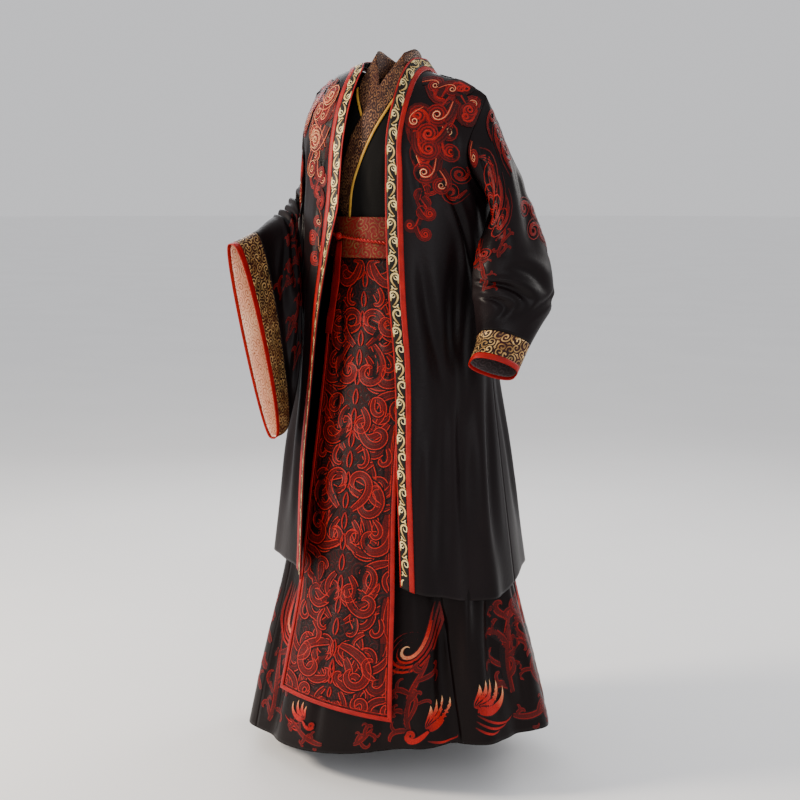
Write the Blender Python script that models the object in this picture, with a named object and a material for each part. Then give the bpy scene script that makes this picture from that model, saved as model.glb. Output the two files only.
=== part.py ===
import bmesh
import bpy
import numpy as np
from mathutils import Matrix

for old in list(bpy.data.objects):
    bpy.data.objects.remove(old, do_unlink=True)

# Metres. +Z is up, the wearer faces -Y and the wearer's left is +X; z = 0 is the base of the neck.
# A turn is an angle about the body, in degrees: 0 is the front centre, 90 the wearer's left, 180 the back.

WALL = 0.0020  # cloth of the robe, sleeves and skirt
THIN_WALL = 0.0014  # cloth of the inner top and the trims
SEAM_GAP = 0.0003
SEAM_SHARE = 0.6  # each panel is moved this share of the gap away from its seams
STRIP_GAPS = 3  # gaps between a front of the inner top and its collar
FOLD_FADE = 0.35  # height over which a fold grows to its full depth
LIFT = 0.0005  # clear space under a trim that lies on a panel

# Rings of each layer: height, half width, depth to the front, depth to the back
ROBE_RINGS = (
    (0.03, 0.200, 0.150, 0.108),
    (-0.10, 0.205, 0.157, 0.118),
    (-0.20, 0.206, 0.168, 0.127),
    (-0.27, 0.207, 0.176, 0.132),
    (-0.46, 0.208, 0.202, 0.143),
    (-0.60, 0.214, 0.216, 0.158),
    (-0.80, 0.238, 0.238, 0.190),
    (-1.10, 0.278, 0.268, 0.246),
)
INNER_RINGS = (
    (0.03, 0.150, 0.110, 0.085),
    (-0.10, 0.152, 0.121, 0.095),
    (-0.20, 0.150, 0.134, 0.100),
    (-0.30, 0.137, 0.134, 0.097),
    (-0.36, 0.129, 0.127, 0.092),
)
BELT_RINGS = (
    (-0.29, 0.147, 0.1485, 0.109),
    (-0.39, 0.151, 0.1545, 0.117),
)
SKIRT_RINGS = (
    (-0.322, 0.139, 0.1365, 0.103),
    (-0.420, 0.141, 0.1410, 0.107),
    (-0.560, 0.172, 0.160, 0.128),
    (-0.800, 0.216, 0.192, 0.162),
    (-1.050, 0.254, 0.222, 0.202),
    (-1.250, 0.312, 0.252, 0.238),
    (-1.430, 0.362, 0.268, 0.270),
)

# Heights of the two lower edges round the body: turn, height
ROBE_HEM = ((-180, -1.045), (-90, -1.025), (-45, -1.015), (-15, -1.014), (0, -1.03), (26, -1.050),
            (52, -1.070), (78, -1.066), (112, -1.040), (180, -1.045))
SKIRT_HEM = ((-180, -1.395), (-100, -1.400), (-53, -1.410), (-20, -1.409), (0, -1.392), (25, -1.360),
             (60, -1.354), (102, -1.360), (180, -1.395))

# Front edges: height, distance from the centre line
LEFT_EDGE = ((0.03, 0.050), (0.00, 0.052), (-0.05, 0.053), (-0.13, 0.051), (-0.19, 0.054), (-0.27, 0.058),
             (-0.46, 0.075), (-0.58, 0.088), (-0.80, 0.102), (-0.90, 0.110), (-1.08, 0.124))
RIGHT_EDGE = ((0.018, 0.068), (0.003, 0.051), (-0.02, 0.046), (-0.05, 0.045), (-0.14, 0.046), (-0.24, 0.048),
              (-0.30, 0.051), (-0.40, 0.060), (-0.53, 0.076), (-0.67, 0.086), (-0.80, 0.093), (-1.05, 0.087))

# Shoulders: where the collar starts and where the sleeve starts
LEFT_NECK_POINT = (0.050, -0.012, 0.022)
RIGHT_NECK_POINT = (0.068, -0.012, 0.018)
LEFT_TIP = (0.196, 0.000, -0.056)
RIGHT_TIP = (0.202, 0.000, -0.038)
# Lift of each shoulder above the straight line from collar to sleeve: share of the way, lift
LEFT_SHOULDER = ((0, 0), (0.08, -0.0064), (0.16, -0.0127), (0.38, -0.007), (0.68, 0.003), (0.90, 0.003),
                 (1, 0))
RIGHT_SHOULDER = ((0, 0), (0.11, 0.003), (0.30, 0.005), (0.50, 0.008), (0.85, 0.005), (1, 0))
FLAT_SHOULDER = ((0, 0), (1, 0))
SHOULDER_ROUNDING = (0.20, 0.11)  # height over which the shoulder turns down, at the neck and at the tip
ARMHOLE_BOTTOM = -0.27
ARMHOLE_OPENING = 26.0  # turn between the edge of the armhole and the side, at its widest
ARMHOLE_POWER = 0.8  # below 1 makes the armhole fuller at its ends

# Folds: turn, spread in degrees, height above which each has faded, depth
ROBE_FOLDS = ((38, 6, -0.55, 0.012), (60, 5, -0.22, -0.010), (72, 5, -0.60, 0.010), (-58, 7, -0.55, 0.010),
              (-76, 5, -0.50, -0.008), (120, 9, -0.45, 0.012), (150, 8, -0.40, -0.012),
              (-120, 9, -0.45, 0.012), (-148, 8, -0.42, -0.012))
SKIRT_FOLDS = (
    (-70, 7, -0.80, -0.014), (-50, 6, -0.75, 0.012), (-36, 5, -0.95, -0.009), (30, 5, -0.80, 0.010),
    (42, 4, -0.62, -0.014), (55, 6, -0.80, 0.013), (72, 5, -0.90, -0.010), (88, 7, -0.85, 0.013),
    (112, 8, -0.70, -0.016), (134, 8, -0.70, 0.016), (156, 8, -0.70, -0.016), (180, 9, -0.70, 0.016),
    (-92, 7, -0.85, 0.013), (-112, 8, -0.70, -0.016), (-134, 8, -0.70, 0.016), (-157, 8, -0.70, -0.014),
)

# Collar of the robe, as distances from the front edge: the piping's two, the band's three and the strip's two
COLLAR_REACH = (-0.0010, 0.0022, 0.0026, 0.0125, 0.0225, 0.0229, 0.0340)
# Inner edge of the collar behind the neck: x, y, z, slope down from it in degrees
NECK_LINE = ((0.054, 0.014, 0.0205, 48), (0.047, 0.038, 0.013, 46), (0.028, 0.056, 0.006, 44),
             (0.0, 0.063, 0.003, 42), (-0.032, 0.059, 0.005, 38), (-0.056, 0.042, 0.011, 30),
             (-0.068, 0.014, 0.0195, 18))
# Neckline of the back, under the collar, from the centre
LEFT_BACK_NECKLINE = ((0.0, 0.084, -0.031), (0.035, 0.077, -0.030), (0.062, 0.050, -0.021))
RIGHT_BACK_NECKLINE = ((0.0, 0.084, -0.031), (0.035, 0.078, -0.028), (0.072, 0.054, -0.014))
COLLAR_SHARE = (0.20, 0.27)  # where the seam of the left and of the right shoulder starts behind the collar
NECK_COLUMNS = 3  # of a back panel's columns, those that lie under the collar
NECK_SHARE = 0.3  # and the share of the panel that they take
# Each front edge turns away from the front on its way down: height, how far forward
LEFT_EDGE_TURN = ((-0.40, 0.0), (-0.75, -0.010), (-1.10, -0.012))
RIGHT_EDGE_TURN = ((-0.28, 0.0), (-0.36, 0.016), (-0.50, 0.022), (-1.10, 0.022))
EDGE_TURN_WIDTH = 0.042

# Sleeves: along (0 armhole, 1 mouth), upper line x y z, lower line x y z, thickness of the near and of the
# far layer from the flat between those lines, which way the near layer faces: heading from the front, pitch
LEFT_SLEEVE = (
    (0.00, 0.196, 0.000, -0.056, 0.207, 0.000, -0.270, 0.060, 0.060, 0, 0),
    (0.16, 0.214, 0.015, -0.104, 0.225, -0.022, -0.286, 0.060, 0.042, 14, 0),
    (0.30, 0.238, 0.022, -0.170, 0.228, -0.052, -0.312, 0.062, 0.032, 34, 0),
    (0.45, 0.264, 0.030, -0.253, 0.226, -0.085, -0.350, 0.062, 0.026, 50, 0),
    (0.60, 0.297, 0.035, -0.344, 0.226, -0.110, -0.395, 0.060, 0.026, 58, 2),
    (0.74, 0.320, 0.028, -0.425, 0.231, -0.122, -0.440, 0.058, 0.026, 60, 6),
    (0.83, 0.328, 0.008, -0.480, 0.236, -0.124, -0.478, 0.054, 0.028, 56, 12),
    (0.90, 0.320, -0.064, -0.556, 0.240, -0.122, -0.523, 0.042, 0.034, 47, 26),
    (1.00, 0.316, -0.112, -0.605, 0.240, -0.162, -0.574, 0.040, 0.036, 44, 30),
)
RIGHT_SLEEVE = (
    (0.00, -0.202, 0.000, -0.038, -0.207, 0.000, -0.270, 0.060, 0.060, 0, 0),
    (0.14, -0.215, 0.012, -0.090, -0.220, -0.012, -0.325, 0.058, 0.045, 10, 0),
    (0.28, -0.228, 0.016, -0.150, -0.230, -0.032, -0.400, 0.054, 0.034, 25, 0),
    (0.40, -0.244, 0.016, -0.205, -0.233, -0.062, -0.475, 0.048, 0.028, 40, 0),
    (0.52, -0.262, 0.000, -0.258, -0.230, -0.092, -0.550, 0.042, 0.024, 55, 0),
    (0.62, -0.268, -0.035, -0.286, -0.222, -0.120, -0.610, 0.038, 0.020, 65, 0),
    (0.74, -0.268, -0.090, -0.306, -0.200, -0.155, -0.675, 0.034, 0.016, 74, 0),
    (0.84, -0.262, -0.150, -0.328, -0.172, -0.190, -0.732, 0.034, 0.017, 78, 0),
    (1.00, -0.260, -0.250, -0.352, -0.165, -0.250, -0.748, 0.036, 0.024, 78, 0),
)
LEFT_CUFF_START = 0.90
RIGHT_CUFF_START = 0.86
SLEEVE_LENGTH = 0.55
SLEEVE_START = (0, 0.05, 0.11, 0.18)  # the first rings along a sleeve
SLEEVE_RINGS = (0.26, 8)  # where the even rings start, and how many there are
UNDERARM = (0.6, 0.4)  # share of the armhole's depth where the gap to the robe opens, and over how much
ARMHOLE_BLEND = 0.22  # along the sleeve, where the shape of the armhole has faded
UNDERARM_GAP = 0.0040
CUFF_EDGE_SHARE = 0.20  # share of the cuff that is the plain edge
FACING_DEPTH = (0.26, 0.15)  # how far in along the sleeve the facing of the right and the left mouth goes
LOOP_POWER = 0.62  # below 1 keeps the two layers of a sleeve parallel for longer

# Collar of the inner top from the back of the neck: x, y, z of its inner edge, then of its outer edge
LAPEL_NECK = (
    (0.000, 0.049, 0.012, 0.000, 0.057, -0.040),
    (0.027, 0.041, 0.020, 0.031, 0.048, -0.036),
    (0.039, 0.020, 0.032, 0.043, 0.023, -0.026),
    (0.042, -0.012, 0.041, 0.046, -0.014, -0.018),
)
# and on down the chest: position across and height of the inner edge, then of the outer edge
LAPEL_CHEST = (
    (0.0385, 0.0400, 0.0490, -0.016),
    (0.0210, 0.0080, 0.0480, -0.040),
    (-0.0010, -0.0400, 0.0300, -0.080),
    (-0.0220, -0.0900, 0.0060, -0.125),
    (-0.0500, -0.1420, -0.0230, -0.192),
    (-0.0700, -0.2000, -0.0400, -0.240),
    (-0.0850, -0.2620, -0.0480, -0.304),
)
# The chest, which shapes both fronts where they cross: height, depth at the centre line
CHEST_RISE = ((0.05, 0.030), (0.01, 0.056), (-0.005, 0.066), (-0.04, 0.090), (-0.08, 0.110), (-0.14, 0.125),
              (-0.20, 0.133), (-0.30, 0.134), (-0.36, 0.127))
CHEST_WIDTH = 0.155  # half width of its curve
CHEST_SHARE = 0.5  # share of a front that it shapes up by the neck
CHEST_LOW = (-0.05, 0.08)  # height where it starts to shape all of a front, and the height it takes
CHEST_SIDE = (0.09, 0.04)  # distance from the centre line where it passes into the rings there, and its width
OVERLAP_LIFT = 0.0052  # the wearer's left front lies this far over the right one
OVERLAP_SIDE = (0.13, 0.03)  # distance from the centre line where it lies in line again, and over how much
GOLD_REACH = (0.0006, 0.0065)  # the gold piping, from the edge of each front
INNER_NECK_POINT = (0.050, -0.030, -0.022)
INNER_TIP = (0.135, 0.000, -0.062)
INNER_BACK_NECKLINE = ((0.0, 0.062, -0.046), (0.028, 0.056, -0.042), (0.048, 0.030, -0.032))
INNER_HEM = -0.3215
INNER_ARMHOLE = -0.21
INNER_OPENING = 34.0
INNER_ROUNDING = (0.13, 0.09)

BELT_TOP = -0.297
BELT_BOTTOM = -0.379
CORD_HEIGHT = -0.343
CORD_SLOPE = -0.12
CORD_RADIUS = 0.0036
CORD_STATIONS = 57
CORD_SIDES = 6
KNOT_TURN = -24.0
KNOT_SIZE = (0.010, 0.008, 0.009)
# Ribbon that hangs from the knot: height, x of its middle, half width, distance in front of the skirt
TAIL_LINE = ((-0.347, -0.062, 0.007, 0.0225), (-0.385, -0.067, 0.010, 0.0225), (-0.43, -0.073, 0.012, 0.0215),
             (-0.48, -0.079, 0.012, 0.0210), (-0.535, -0.084, 0.011, 0.0210))

# Apron panel: height, left edge, right edge
APRON_EDGES = ((-0.372, -0.098, 0.098), (-0.53, -0.092, 0.096), (-0.72, -0.100, 0.096),
               (-0.90, -0.113, 0.098), (-1.06, -0.124, 0.106), (-1.20, -0.142, 0.114),
               (-1.31, -0.160, 0.120))
APRON_BOTTOM = (-1.283, -1.302)  # at the wearer's right and left corner
# Its height and its distance off the skirt
APRON_OUT = ((-0.372, 0.0050), (-0.43, 0.0120), (-0.60, 0.0150), (-1.31, 0.0200))
APRON_BINDING = 0.009


def curve(rows, x, column=1):
    """One column of a table, interpolated smoothly by its first column."""
    rows = np.array(sorted(rows), float)
    t, y = rows[:, 0], rows[:, column]
    slope = np.diff(y) / np.diff(t)
    m = np.concatenate([slope[:1], (slope[1:] + slope[:-1]) / 2, slope[-1:]])
    m[1:-1][slope[1:] * slope[:-1] <= 0] = 0
    x = np.clip(x, t[0], t[-1])
    i = np.clip(np.searchsorted(t, x, side="right") - 1, 0, len(t) - 2)
    h = t[i + 1] - t[i]
    s = (x - t[i]) / h
    return ((2 * s ** 3 - 3 * s ** 2 + 1) * y[i] + (s ** 3 - 2 * s ** 2 + s) * h * m[i]
            + (3 * s ** 2 - 2 * s ** 3) * y[i + 1] + (s ** 3 - s ** 2) * h * m[i + 1])


def ease(x):
    x = np.clip(x, 0, 1)
    return x * x * (3 - 2 * x)


def ring(rows, turn, z, out=0.0):
    """Points of a layer, by turn in degrees and height, moved outward."""
    t = np.radians(turn)
    depth = np.where(np.cos(t) > 0, curve(rows, z, 2), curve(rows, z, 3)) + out
    return np.stack([(curve(rows, z) + out) * np.sin(t), -depth * np.cos(t), z + 0 * t], -1)


def folds(rows, turn, z):
    """Sum of the folds, as a distance outward."""
    total = 0 * turn
    for at, spread, top, depth in rows:
        away = (turn - at + 180) % 360 - 180
        total = total + depth * np.exp(-(away / spread) ** 2) * ease((top - z) / FOLD_FADE)
    return total


def normals(points, wrap, inside):
    """Unit normals of a grid of points, pointing away from the line or points given as its inside."""
    if wrap:
        wide = np.concatenate([points[:, -1:], points, points[:, :1]], 1)
        across = wide[:, 2:] - wide[:, :-2]
    else:
        across = np.gradient(points, axis=1)
    n = np.cross(across, np.gradient(points, axis=0))
    n /= np.linalg.norm(n, axis=2, keepdims=True)
    return n if np.sum(n * (points - inside)) > 0 else -n


def material(name, colour, roughness, metallic=0.0):
    m = bpy.data.materials.new(name)
    m.use_nodes = True
    shader = m.node_tree.nodes["Principled BSDF"]
    shader.inputs["Base Color"].default_value = (*colour, 1)
    shader.inputs["Roughness"].default_value = roughness
    shader.inputs["Metallic"].default_value = metallic
    m.diffuse_color = (*colour, 1)
    return m


def add(name, verts, faces, look):
    mesh = bpy.data.meshes.new(name)
    mesh.from_pydata([tuple(map(float, v)) for v in verts], [], faces)
    mesh.validate()
    bm = bmesh.new()
    bm.from_mesh(mesh)
    bmesh.ops.recalc_face_normals(bm, faces=bm.faces)
    bm.to_mesh(mesh)
    bm.free()
    mesh.materials.append(look)
    obj = bpy.data.objects.new(name, mesh)
    bpy.context.collection.objects.link(obj)
    return obj


def shell(name, points, normal, wall, look, wrap=False):
    """A closed wall: a grid of outer points, the same moved inward, and the rims between them."""
    rows, cols = points.shape[:2]
    count = rows * cols
    verts = np.concatenate([points.reshape(-1, 3), (points - normal * wall).reshape(-1, 3)])
    steps = cols if wrap else cols - 1
    faces = []
    for r in range(rows - 1):
        for c in range(steps):
            d = (c + 1) % cols
            quad = (r * cols + c, r * cols + d, (r + 1) * cols + d, (r + 1) * cols + c)
            faces += [quad, tuple(count + quad[i] for i in (0, 3, 2, 1))]
    for r in (0, rows - 1):
        for c in range(steps):
            a, b = r * cols + c, r * cols + (c + 1) % cols
            faces.append((a, b, count + b, count + a))
    if not wrap:
        for c in (0, cols - 1):
            for r in range(rows - 1):
                a, b = r * cols + c, (r + 1) * cols + c
                faces.append((a, b, count + b, count + a))
    return add(name, verts, faces, look)


def axis_of(points):
    """The body's axis at the height of each point, as the inside of a grid round the body."""
    return points * np.array([0, 0, 1.0])


def shoulder(spec, share):
    """The shoulder line from the collar to the sleeve."""
    neck, tip = np.array(spec["neck"]), np.array(spec["tip"])
    line = neck + (tip - neck) * share[..., None]
    line[..., 2] += curve(spec["shoulder"], share)
    return line


def panel(side, back, u, v, spec):
    """Points of a front or back panel. u runs from the front edge or the back centre to the side, v from the
    shoulder (0) past the bottom of the armhole (1) to the hem (2)."""
    neck, tip, rings, under = spec["neck"], spec["tip"], spec["rings"], spec["armhole"]
    share = u
    if back:
        share = np.clip(spec["collar"] + (1 - spec["collar"]) * (u - NECK_SHARE) / (1 - NECK_SHARE), 0, 1)
    top = shoulder(spec, share)
    if back:
        line = np.array(spec["neckline"] + (tuple(shoulder(spec, np.array([spec["collar"]]))[0]),))
        at = np.linspace(0, NECK_SHARE, len(line))
        near = np.stack([np.interp(u, at, line[:, i]) for i in range(3)], -1)
        top = np.where((u < NECK_SHARE)[..., None], near, top)
    turn = 180 - 90 * u if back else 90 * u
    hem = curve(spec["hem"], side * turn)
    z = np.where(v < 1, top[..., 2] + (under - top[..., 2]) * v, under + (hem - under) * (v - 1))
    opening = spec["opening"] * np.sin(np.pi * np.clip((z - under) / (tip[2] - under), 0, 1)) ** ARMHOLE_POWER
    edge = curve(spec["edge"], z)
    if back:
        turn = 180 + (opening - 90) * u
    else:
        start = np.degrees(np.arcsin(edge / curve(rings, z)))
        turn = start + (90 - opening - start) * u
    low = ring(rings, turn, z, folds(spec["folds"], side * turn, z))
    down = (top[..., 2] - z) / (spec["rounding"][0] + (spec["rounding"][1] - spec["rounding"][0]) * share)
    slide = ease((top[..., 2] - z) / spec["rounding"][0])
    x = top[..., 0] + (low[..., 0] - top[..., 0]) * slide
    if not back:
        x += (edge - curve(spec["edge"], top[..., 2])) * (1 - slide) * np.clip(1 - u, 0, 1) ** 2
    y = top[..., 1] + (low[..., 1] - top[..., 1]) * np.sqrt(1 - (1 - np.clip(down, 0, 1)) ** 2)
    gap = SEAM_GAP * SEAM_SHARE
    return np.stack([side * (x + gap), y + (gap if back else -gap), z], -1)


def grid(us, vs):
    return np.meshgrid(np.array(us, float), np.array(vs, float))


ROBE = {
    side: dict(rings=ROBE_RINGS, hem=ROBE_HEM, folds=ROBE_FOLDS, armhole=ARMHOLE_BOTTOM,
               opening=ARMHOLE_OPENING, rounding=SHOULDER_ROUNDING, neck=neck, tip=tip, shoulder=line,
               edge=edge, neckline=neckline, collar=share)
    for side, neck, tip, line, edge, neckline, share in (
        (1, LEFT_NECK_POINT, LEFT_TIP, LEFT_SHOULDER, LEFT_EDGE, LEFT_BACK_NECKLINE, COLLAR_SHARE[0]),
        (-1, RIGHT_NECK_POINT, RIGHT_TIP, RIGHT_SHOULDER, RIGHT_EDGE, RIGHT_BACK_NECKLINE, COLLAR_SHARE[1]))
}
INNER = dict(rings=INNER_RINGS, hem=((-180, INNER_HEM), (180, INNER_HEM)), folds=(), armhole=INNER_ARMHOLE,
             opening=INNER_OPENING, rounding=INNER_ROUNDING, neck=INNER_NECK_POINT, tip=INNER_TIP,
             shoulder=FLAT_SHOULDER, edge=tuple((row[3], row[2]) for row in LAPEL_CHEST),
             neckline=INNER_BACK_NECKLINE, collar=0.0)


def front_width(points, v):
    """Width of a front, as its first bit makes it."""
    bit = 0.05
    return np.linalg.norm(points(bit + 0 * v) - points(0 * v), axis=-1) / bit


def robe_front(side, reach, v, rest=None):
    """Points of a front at a distance from its edge, or at the share rest of what is left past that."""
    spec = ROBE[side]
    width = front_width(lambda u: panel(side, False, u, v, spec), v)
    u = reach / width
    if rest is not None:
        u = u + (1 - u) * rest
    points = panel(side, False, u, v, spec)
    near = np.clip(1 - u * width / EDGE_TURN_WIDTH, 0, None) ** 2
    points[..., 1] -= near * curve(LEFT_EDGE_TURN if side > 0 else RIGHT_EDGE_TURN, points[..., 2])
    return points


def chest(x, z, out):
    """Points on the curve of the chest, moved forward."""
    return np.stack([x, -curve(CHEST_RISE, z) * np.sqrt(1 - (x / CHEST_WIDTH) ** 2) - out, z], -1)


def inner_front(side, u, v):
    """Points of a front of the inner top: the chest near its edge, the rings at the side."""
    points = panel(side, False, u, v, INNER)
    x, z = points[..., 0], points[..., 2]
    low = ease((CHEST_LOW[0] - z) / CHEST_LOW[1])
    body = ease(u / CHEST_SHARE) * (1 - low) + ease((np.abs(x) - CHEST_SIDE[0]) / CHEST_SIDE[1]) * low
    lift = OVERLAP_LIFT * ease((OVERLAP_SIDE[0] - x) / OVERLAP_SIDE[1]) if side > 0 else 0.0
    points[..., 1] = chest(x, z, 0.0)[..., 1] * (1 - body) + points[..., 1] * body - lift
    return points


def squared(normal, where, axis):
    """Turns the normals on one edge of a grid square to an axis, so that two pieces meet face to face."""
    normal[where + (axis,)] = 0
    normal[where] /= np.linalg.norm(normal[where], axis=-1, keepdims=True)
    return normal


def seamed(normal, line):
    """Stands the normals of a shoulder seam square to the seam, the same for the front as for the back."""
    step = np.gradient(line, axis=0)
    flat = np.stack([-step[:, 2], 0 * step[:, 2], step[:, 0]], -1) * np.sign(step[:, :1])
    normal[0, -len(line):] = flat / np.linalg.norm(flat, axis=1, keepdims=True)


def joined(normal, seams, axis):
    """Gives the two rows (or columns) on each side of a seam the same normals."""
    moved = np.moveaxis(normal, axis, 0)
    for i in seams:
        moved[i - 1] += moved[i]
        moved[i - 1] /= np.linalg.norm(moved[i - 1], axis=1, keepdims=True)
        moved[i] = moved[i - 1]
    return normal


black_satin = material("black_satin", (0.010, 0.009, 0.011), 0.34)
black_cloth = material("black_cloth", (0.008, 0.007, 0.006), 0.80)
red_silk = material("red_silk", (0.42, 0.025, 0.018), 0.45)
scroll_band = material("scroll_band", (0.33, 0.26, 0.15), 0.50)
cuff_brocade = material("cuff_brocade", (0.14, 0.055, 0.028), 0.50)
facing_silk = material("facing_silk", (0.46, 0.26, 0.19), 0.55)
grey_facing = material("grey_facing", (0.10, 0.08, 0.08), 0.60)
lapel_brocade = material("lapel_brocade", (0.085, 0.040, 0.026), 0.60)
gold_piping = material("gold_piping", (0.52, 0.33, 0.07), 0.40)
belt_brocade = material("belt_brocade", (0.30, 0.035, 0.022), 0.55)
apron_brocade = material("apron_brocade", (0.20, 0.016, 0.014), 0.50)
skirt_satin = material("skirt_satin", (0.014, 0.010, 0.011), 0.36)

SHOULDER_ROWS = (0, 0.02, 0.06, 0.12, 0.20, 0.31, 0.44, 0.58, 0.72, 0.86, 1)
SKIRT_OF_ROBE_ROWS = (1.11, 1.22, 1.33, 1.44, 1.55, 1.66, 1.78, 1.89, 2)
ROBE_ROWS = SHOULDER_ROWS + SKIRT_OF_ROBE_ROWS
TRIM_COLUMNS = (0, 0.0024, 0.0125, 0.0227, 0.0342)
FRONT_COLUMNS = (0.12, 0.25, 0.38, 0.51, 0.64, 0.76, 0.88, 1)
BACK_COLUMNS = (0, 0.1, 0.2, 0.3, 0.4, 0.5, 0.6, 0.7, 0.8, 0.9, 1)
SIDE_NAME = {1: "left", -1: "right"}

# Body of the robe
armhole = {}
for side in (1, -1):
    near, v = grid(TRIM_COLUMNS, ROBE_ROWS)
    trim = robe_front(side, near, v)
    far, v = grid(FRONT_COLUMNS, ROBE_ROWS)
    front = np.concatenate([trim, robe_front(side, TRIM_COLUMNS[-1] + 0 * far, v, far)], 1)
    back = panel(side, True, *grid(BACK_COLUMNS, ROBE_ROWS), ROBE[side])
    hole = ROBE_ROWS.index(1)
    armhole[side] = front[:hole + 1, -1], back[:hole + 1, -1]
    front_normal = normals(front, False, axis_of(front))
    seamed(front_normal, front[0])
    squared(front_normal, (slice(hole, None), -1), 1)
    back_normal = normals(back, False, axis_of(back))
    squared(back_normal, (0, slice(None)), 1)
    seamed(back_normal, back[0, NECK_COLUMNS:])
    squared(back_normal, (slice(hole, None), -1), 1)
    squared(back_normal, (slice(None), 0), 0)
    shell(f"robe_front_{SIDE_NAME[side]}", front[::-side], front_normal[::-side], WALL, black_satin)
    shell(f"robe_back_{SIDE_NAME[side]}", back, back_normal, WALL, black_satin)


def sleeve(side, rows, along):
    """Grid of a sleeve: one ring for each distance along it, from the top round the front and the back."""
    front, back = armhole[side]
    half = len(front) - 1
    first = np.concatenate([front, back[-2:0:-1]])
    first[0] = (front[0] + back[0]) / 2
    first[half] = (front[-1] + back[-1]) / 2
    phi = np.arange(2 * half) * np.pi / half
    share = (1 - np.cos(phi)) / 2
    first[:, 0] += side * (SEAM_GAP + UNDERARM_GAP * ease((share - UNDERARM[0]) / UNDERARM[1]))
    s = np.array(along, float)
    top = np.stack([curve(rows, s, i) for i in (1, 2, 3)], -1)
    low = np.stack([curve(rows, s, i) for i in (4, 5, 6)], -1)
    heading, pitch = np.radians(curve(rows, s, 9)), np.radians(curve(rows, s, 10))
    facing = np.stack([np.cos(pitch) * np.sin(heading), -np.cos(pitch) * np.cos(heading), np.sin(pitch)], -1)
    bulge = np.abs(np.sin(phi)) ** LOOP_POWER
    bulge[half] = 0
    thick = np.where(phi < np.pi, curve(rows, s, 7)[:, None], -curve(rows, s, 8)[:, None]) * bulge
    loop = top[:, None] + (low - top)[:, None] * share[None, :, None] + facing[:, None] * thick[..., None]
    hold = (1 - ease(s / ARMHOLE_BLEND))[:, None, None]
    return loop + (first - loop[0])[None] * hold


# Sleeves, cuffs and facings
for side, rows, cuff, facing, lining in (
    (1, LEFT_SLEEVE, LEFT_CUFF_START, FACING_DEPTH[1], grey_facing),
    (-1, RIGHT_SLEEVE, RIGHT_CUFF_START, FACING_DEPTH[0], facing_silk),
):
    name = SIDE_NAME[side]
    step = SEAM_GAP / SLEEVE_LENGTH
    edge = 1 - (1 - cuff) * CUFF_EDGE_SHARE
    inward = 1 - facing
    even = np.linspace(SLEEVE_RINGS[0], inward, SLEEVE_RINGS[1])
    body = [*SLEEVE_START, *even, (inward + cuff) / 2, cuff - step]
    band = [cuff + step, (cuff + edge) / 2, edge - step]
    hem = [edge + step, 1]
    rings = sleeve(side, rows, body + band + hem)
    a, b = len(body), len(body) + len(band)
    normal = joined(normals(rings, True, rings.mean(1, keepdims=True)), (a, b), 0)
    squared(normal, (0, slice(None)), 0)
    shell(f"sleeve_{name}", rings[:a], normal[:a], WALL, black_satin, True)
    shell(f"cuff_band_{name}", rings[a:b], normal[a:b], WALL, cuff_brocade, True)
    shell(f"cuff_edge_{name}", rings[b:], normal[b:], WALL, red_silk, True)
    lined = [a - 3, a - 2, a - 1, a + 1, b - 1, b + 1]
    within = (rings - normal * (WALL + LIFT))[lined]
    shell(f"sleeve_facing_{name}", within, normal[lined], THIN_WALL, lining, True)


# Collar of the robe, from the hem of the left front round the neck to the hem of the right front
across, v = grid(COLLAR_REACH, ROBE_ROWS)
left, right = robe_front(1, across, v)[::-1], robe_front(-1, across, v)
neck = np.array(NECK_LINE)
along = np.gradient(np.concatenate([left[-1:, 0], neck[:, :3], right[:1, 0]]), axis=0)[1:-1]
outward = np.cross([0, 0, 1.0], along)
outward *= np.sign(np.sum(outward * neck[:, :3], 1, keepdims=True))
outward /= np.linalg.norm(outward, axis=1, keepdims=True)
slope = np.radians(neck[:, 3:])
fall = outward * np.cos(slope) - np.array([0, 0, 1.0]) * np.sin(slope)
behind = neck[:, None, :3] + fall[:, None] * np.array(COLLAR_REACH)[None, :, None]
points = np.concatenate([left, behind, right])
normal = joined(normals(points, False, axis_of(points)), (2, 5), 1)
for name, columns, look in (("collar_piping", slice(0, 2), red_silk),
                            ("collar_band", slice(2, 5), scroll_band),
                            ("collar_strip", slice(5, 7), red_silk)):
    shell(name, (points + normal * (LIFT + THIN_WALL))[:, columns], normal[:, columns], THIN_WALL, look)

# Inner top
INNER_ROWS = (0, 0.1, 0.22, 0.36, 0.52, 0.68, 0.84, 1, 1.2, 1.45, 1.7, 2)
INNER_HOLE = INNER_ROWS.index(1)
FRONT_SHARES = (0, 0.08, 0.2, 0.34, 0.5, 0.66, 0.83, 1)
BACK_SHARES = (0, 0.15, 0.3, 0.5, 0.7, 0.85, 1)
for side in (1, -1):
    front = inner_front(side, *grid(FRONT_SHARES, INNER_ROWS))
    normal = normals(front, False, axis_of(front))
    squared(normal, (0, slice(None)), 1)
    squared(normal, (slice(INNER_HOLE, None), -1), 1)
    shell(f"inner_front_{SIDE_NAME[side]}", front, normal, THIN_WALL, black_cloth)
half = panel(1, True, *grid(BACK_SHARES, INNER_ROWS), INNER)
half[:, 0, 0] = 0
back = np.concatenate([half[:, :0:-1] * [-1, 1, 1], half], 1)
normal = normals(back, False, axis_of(back))
squared(normal, (0, slice(None)), 1)
squared(normal, (slice(INNER_HOLE, None), 0), 1)
squared(normal, (slice(INNER_HOLE, None), -1), 1)
shell("inner_back", back, normal, THIN_WALL, black_cloth)

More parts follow.
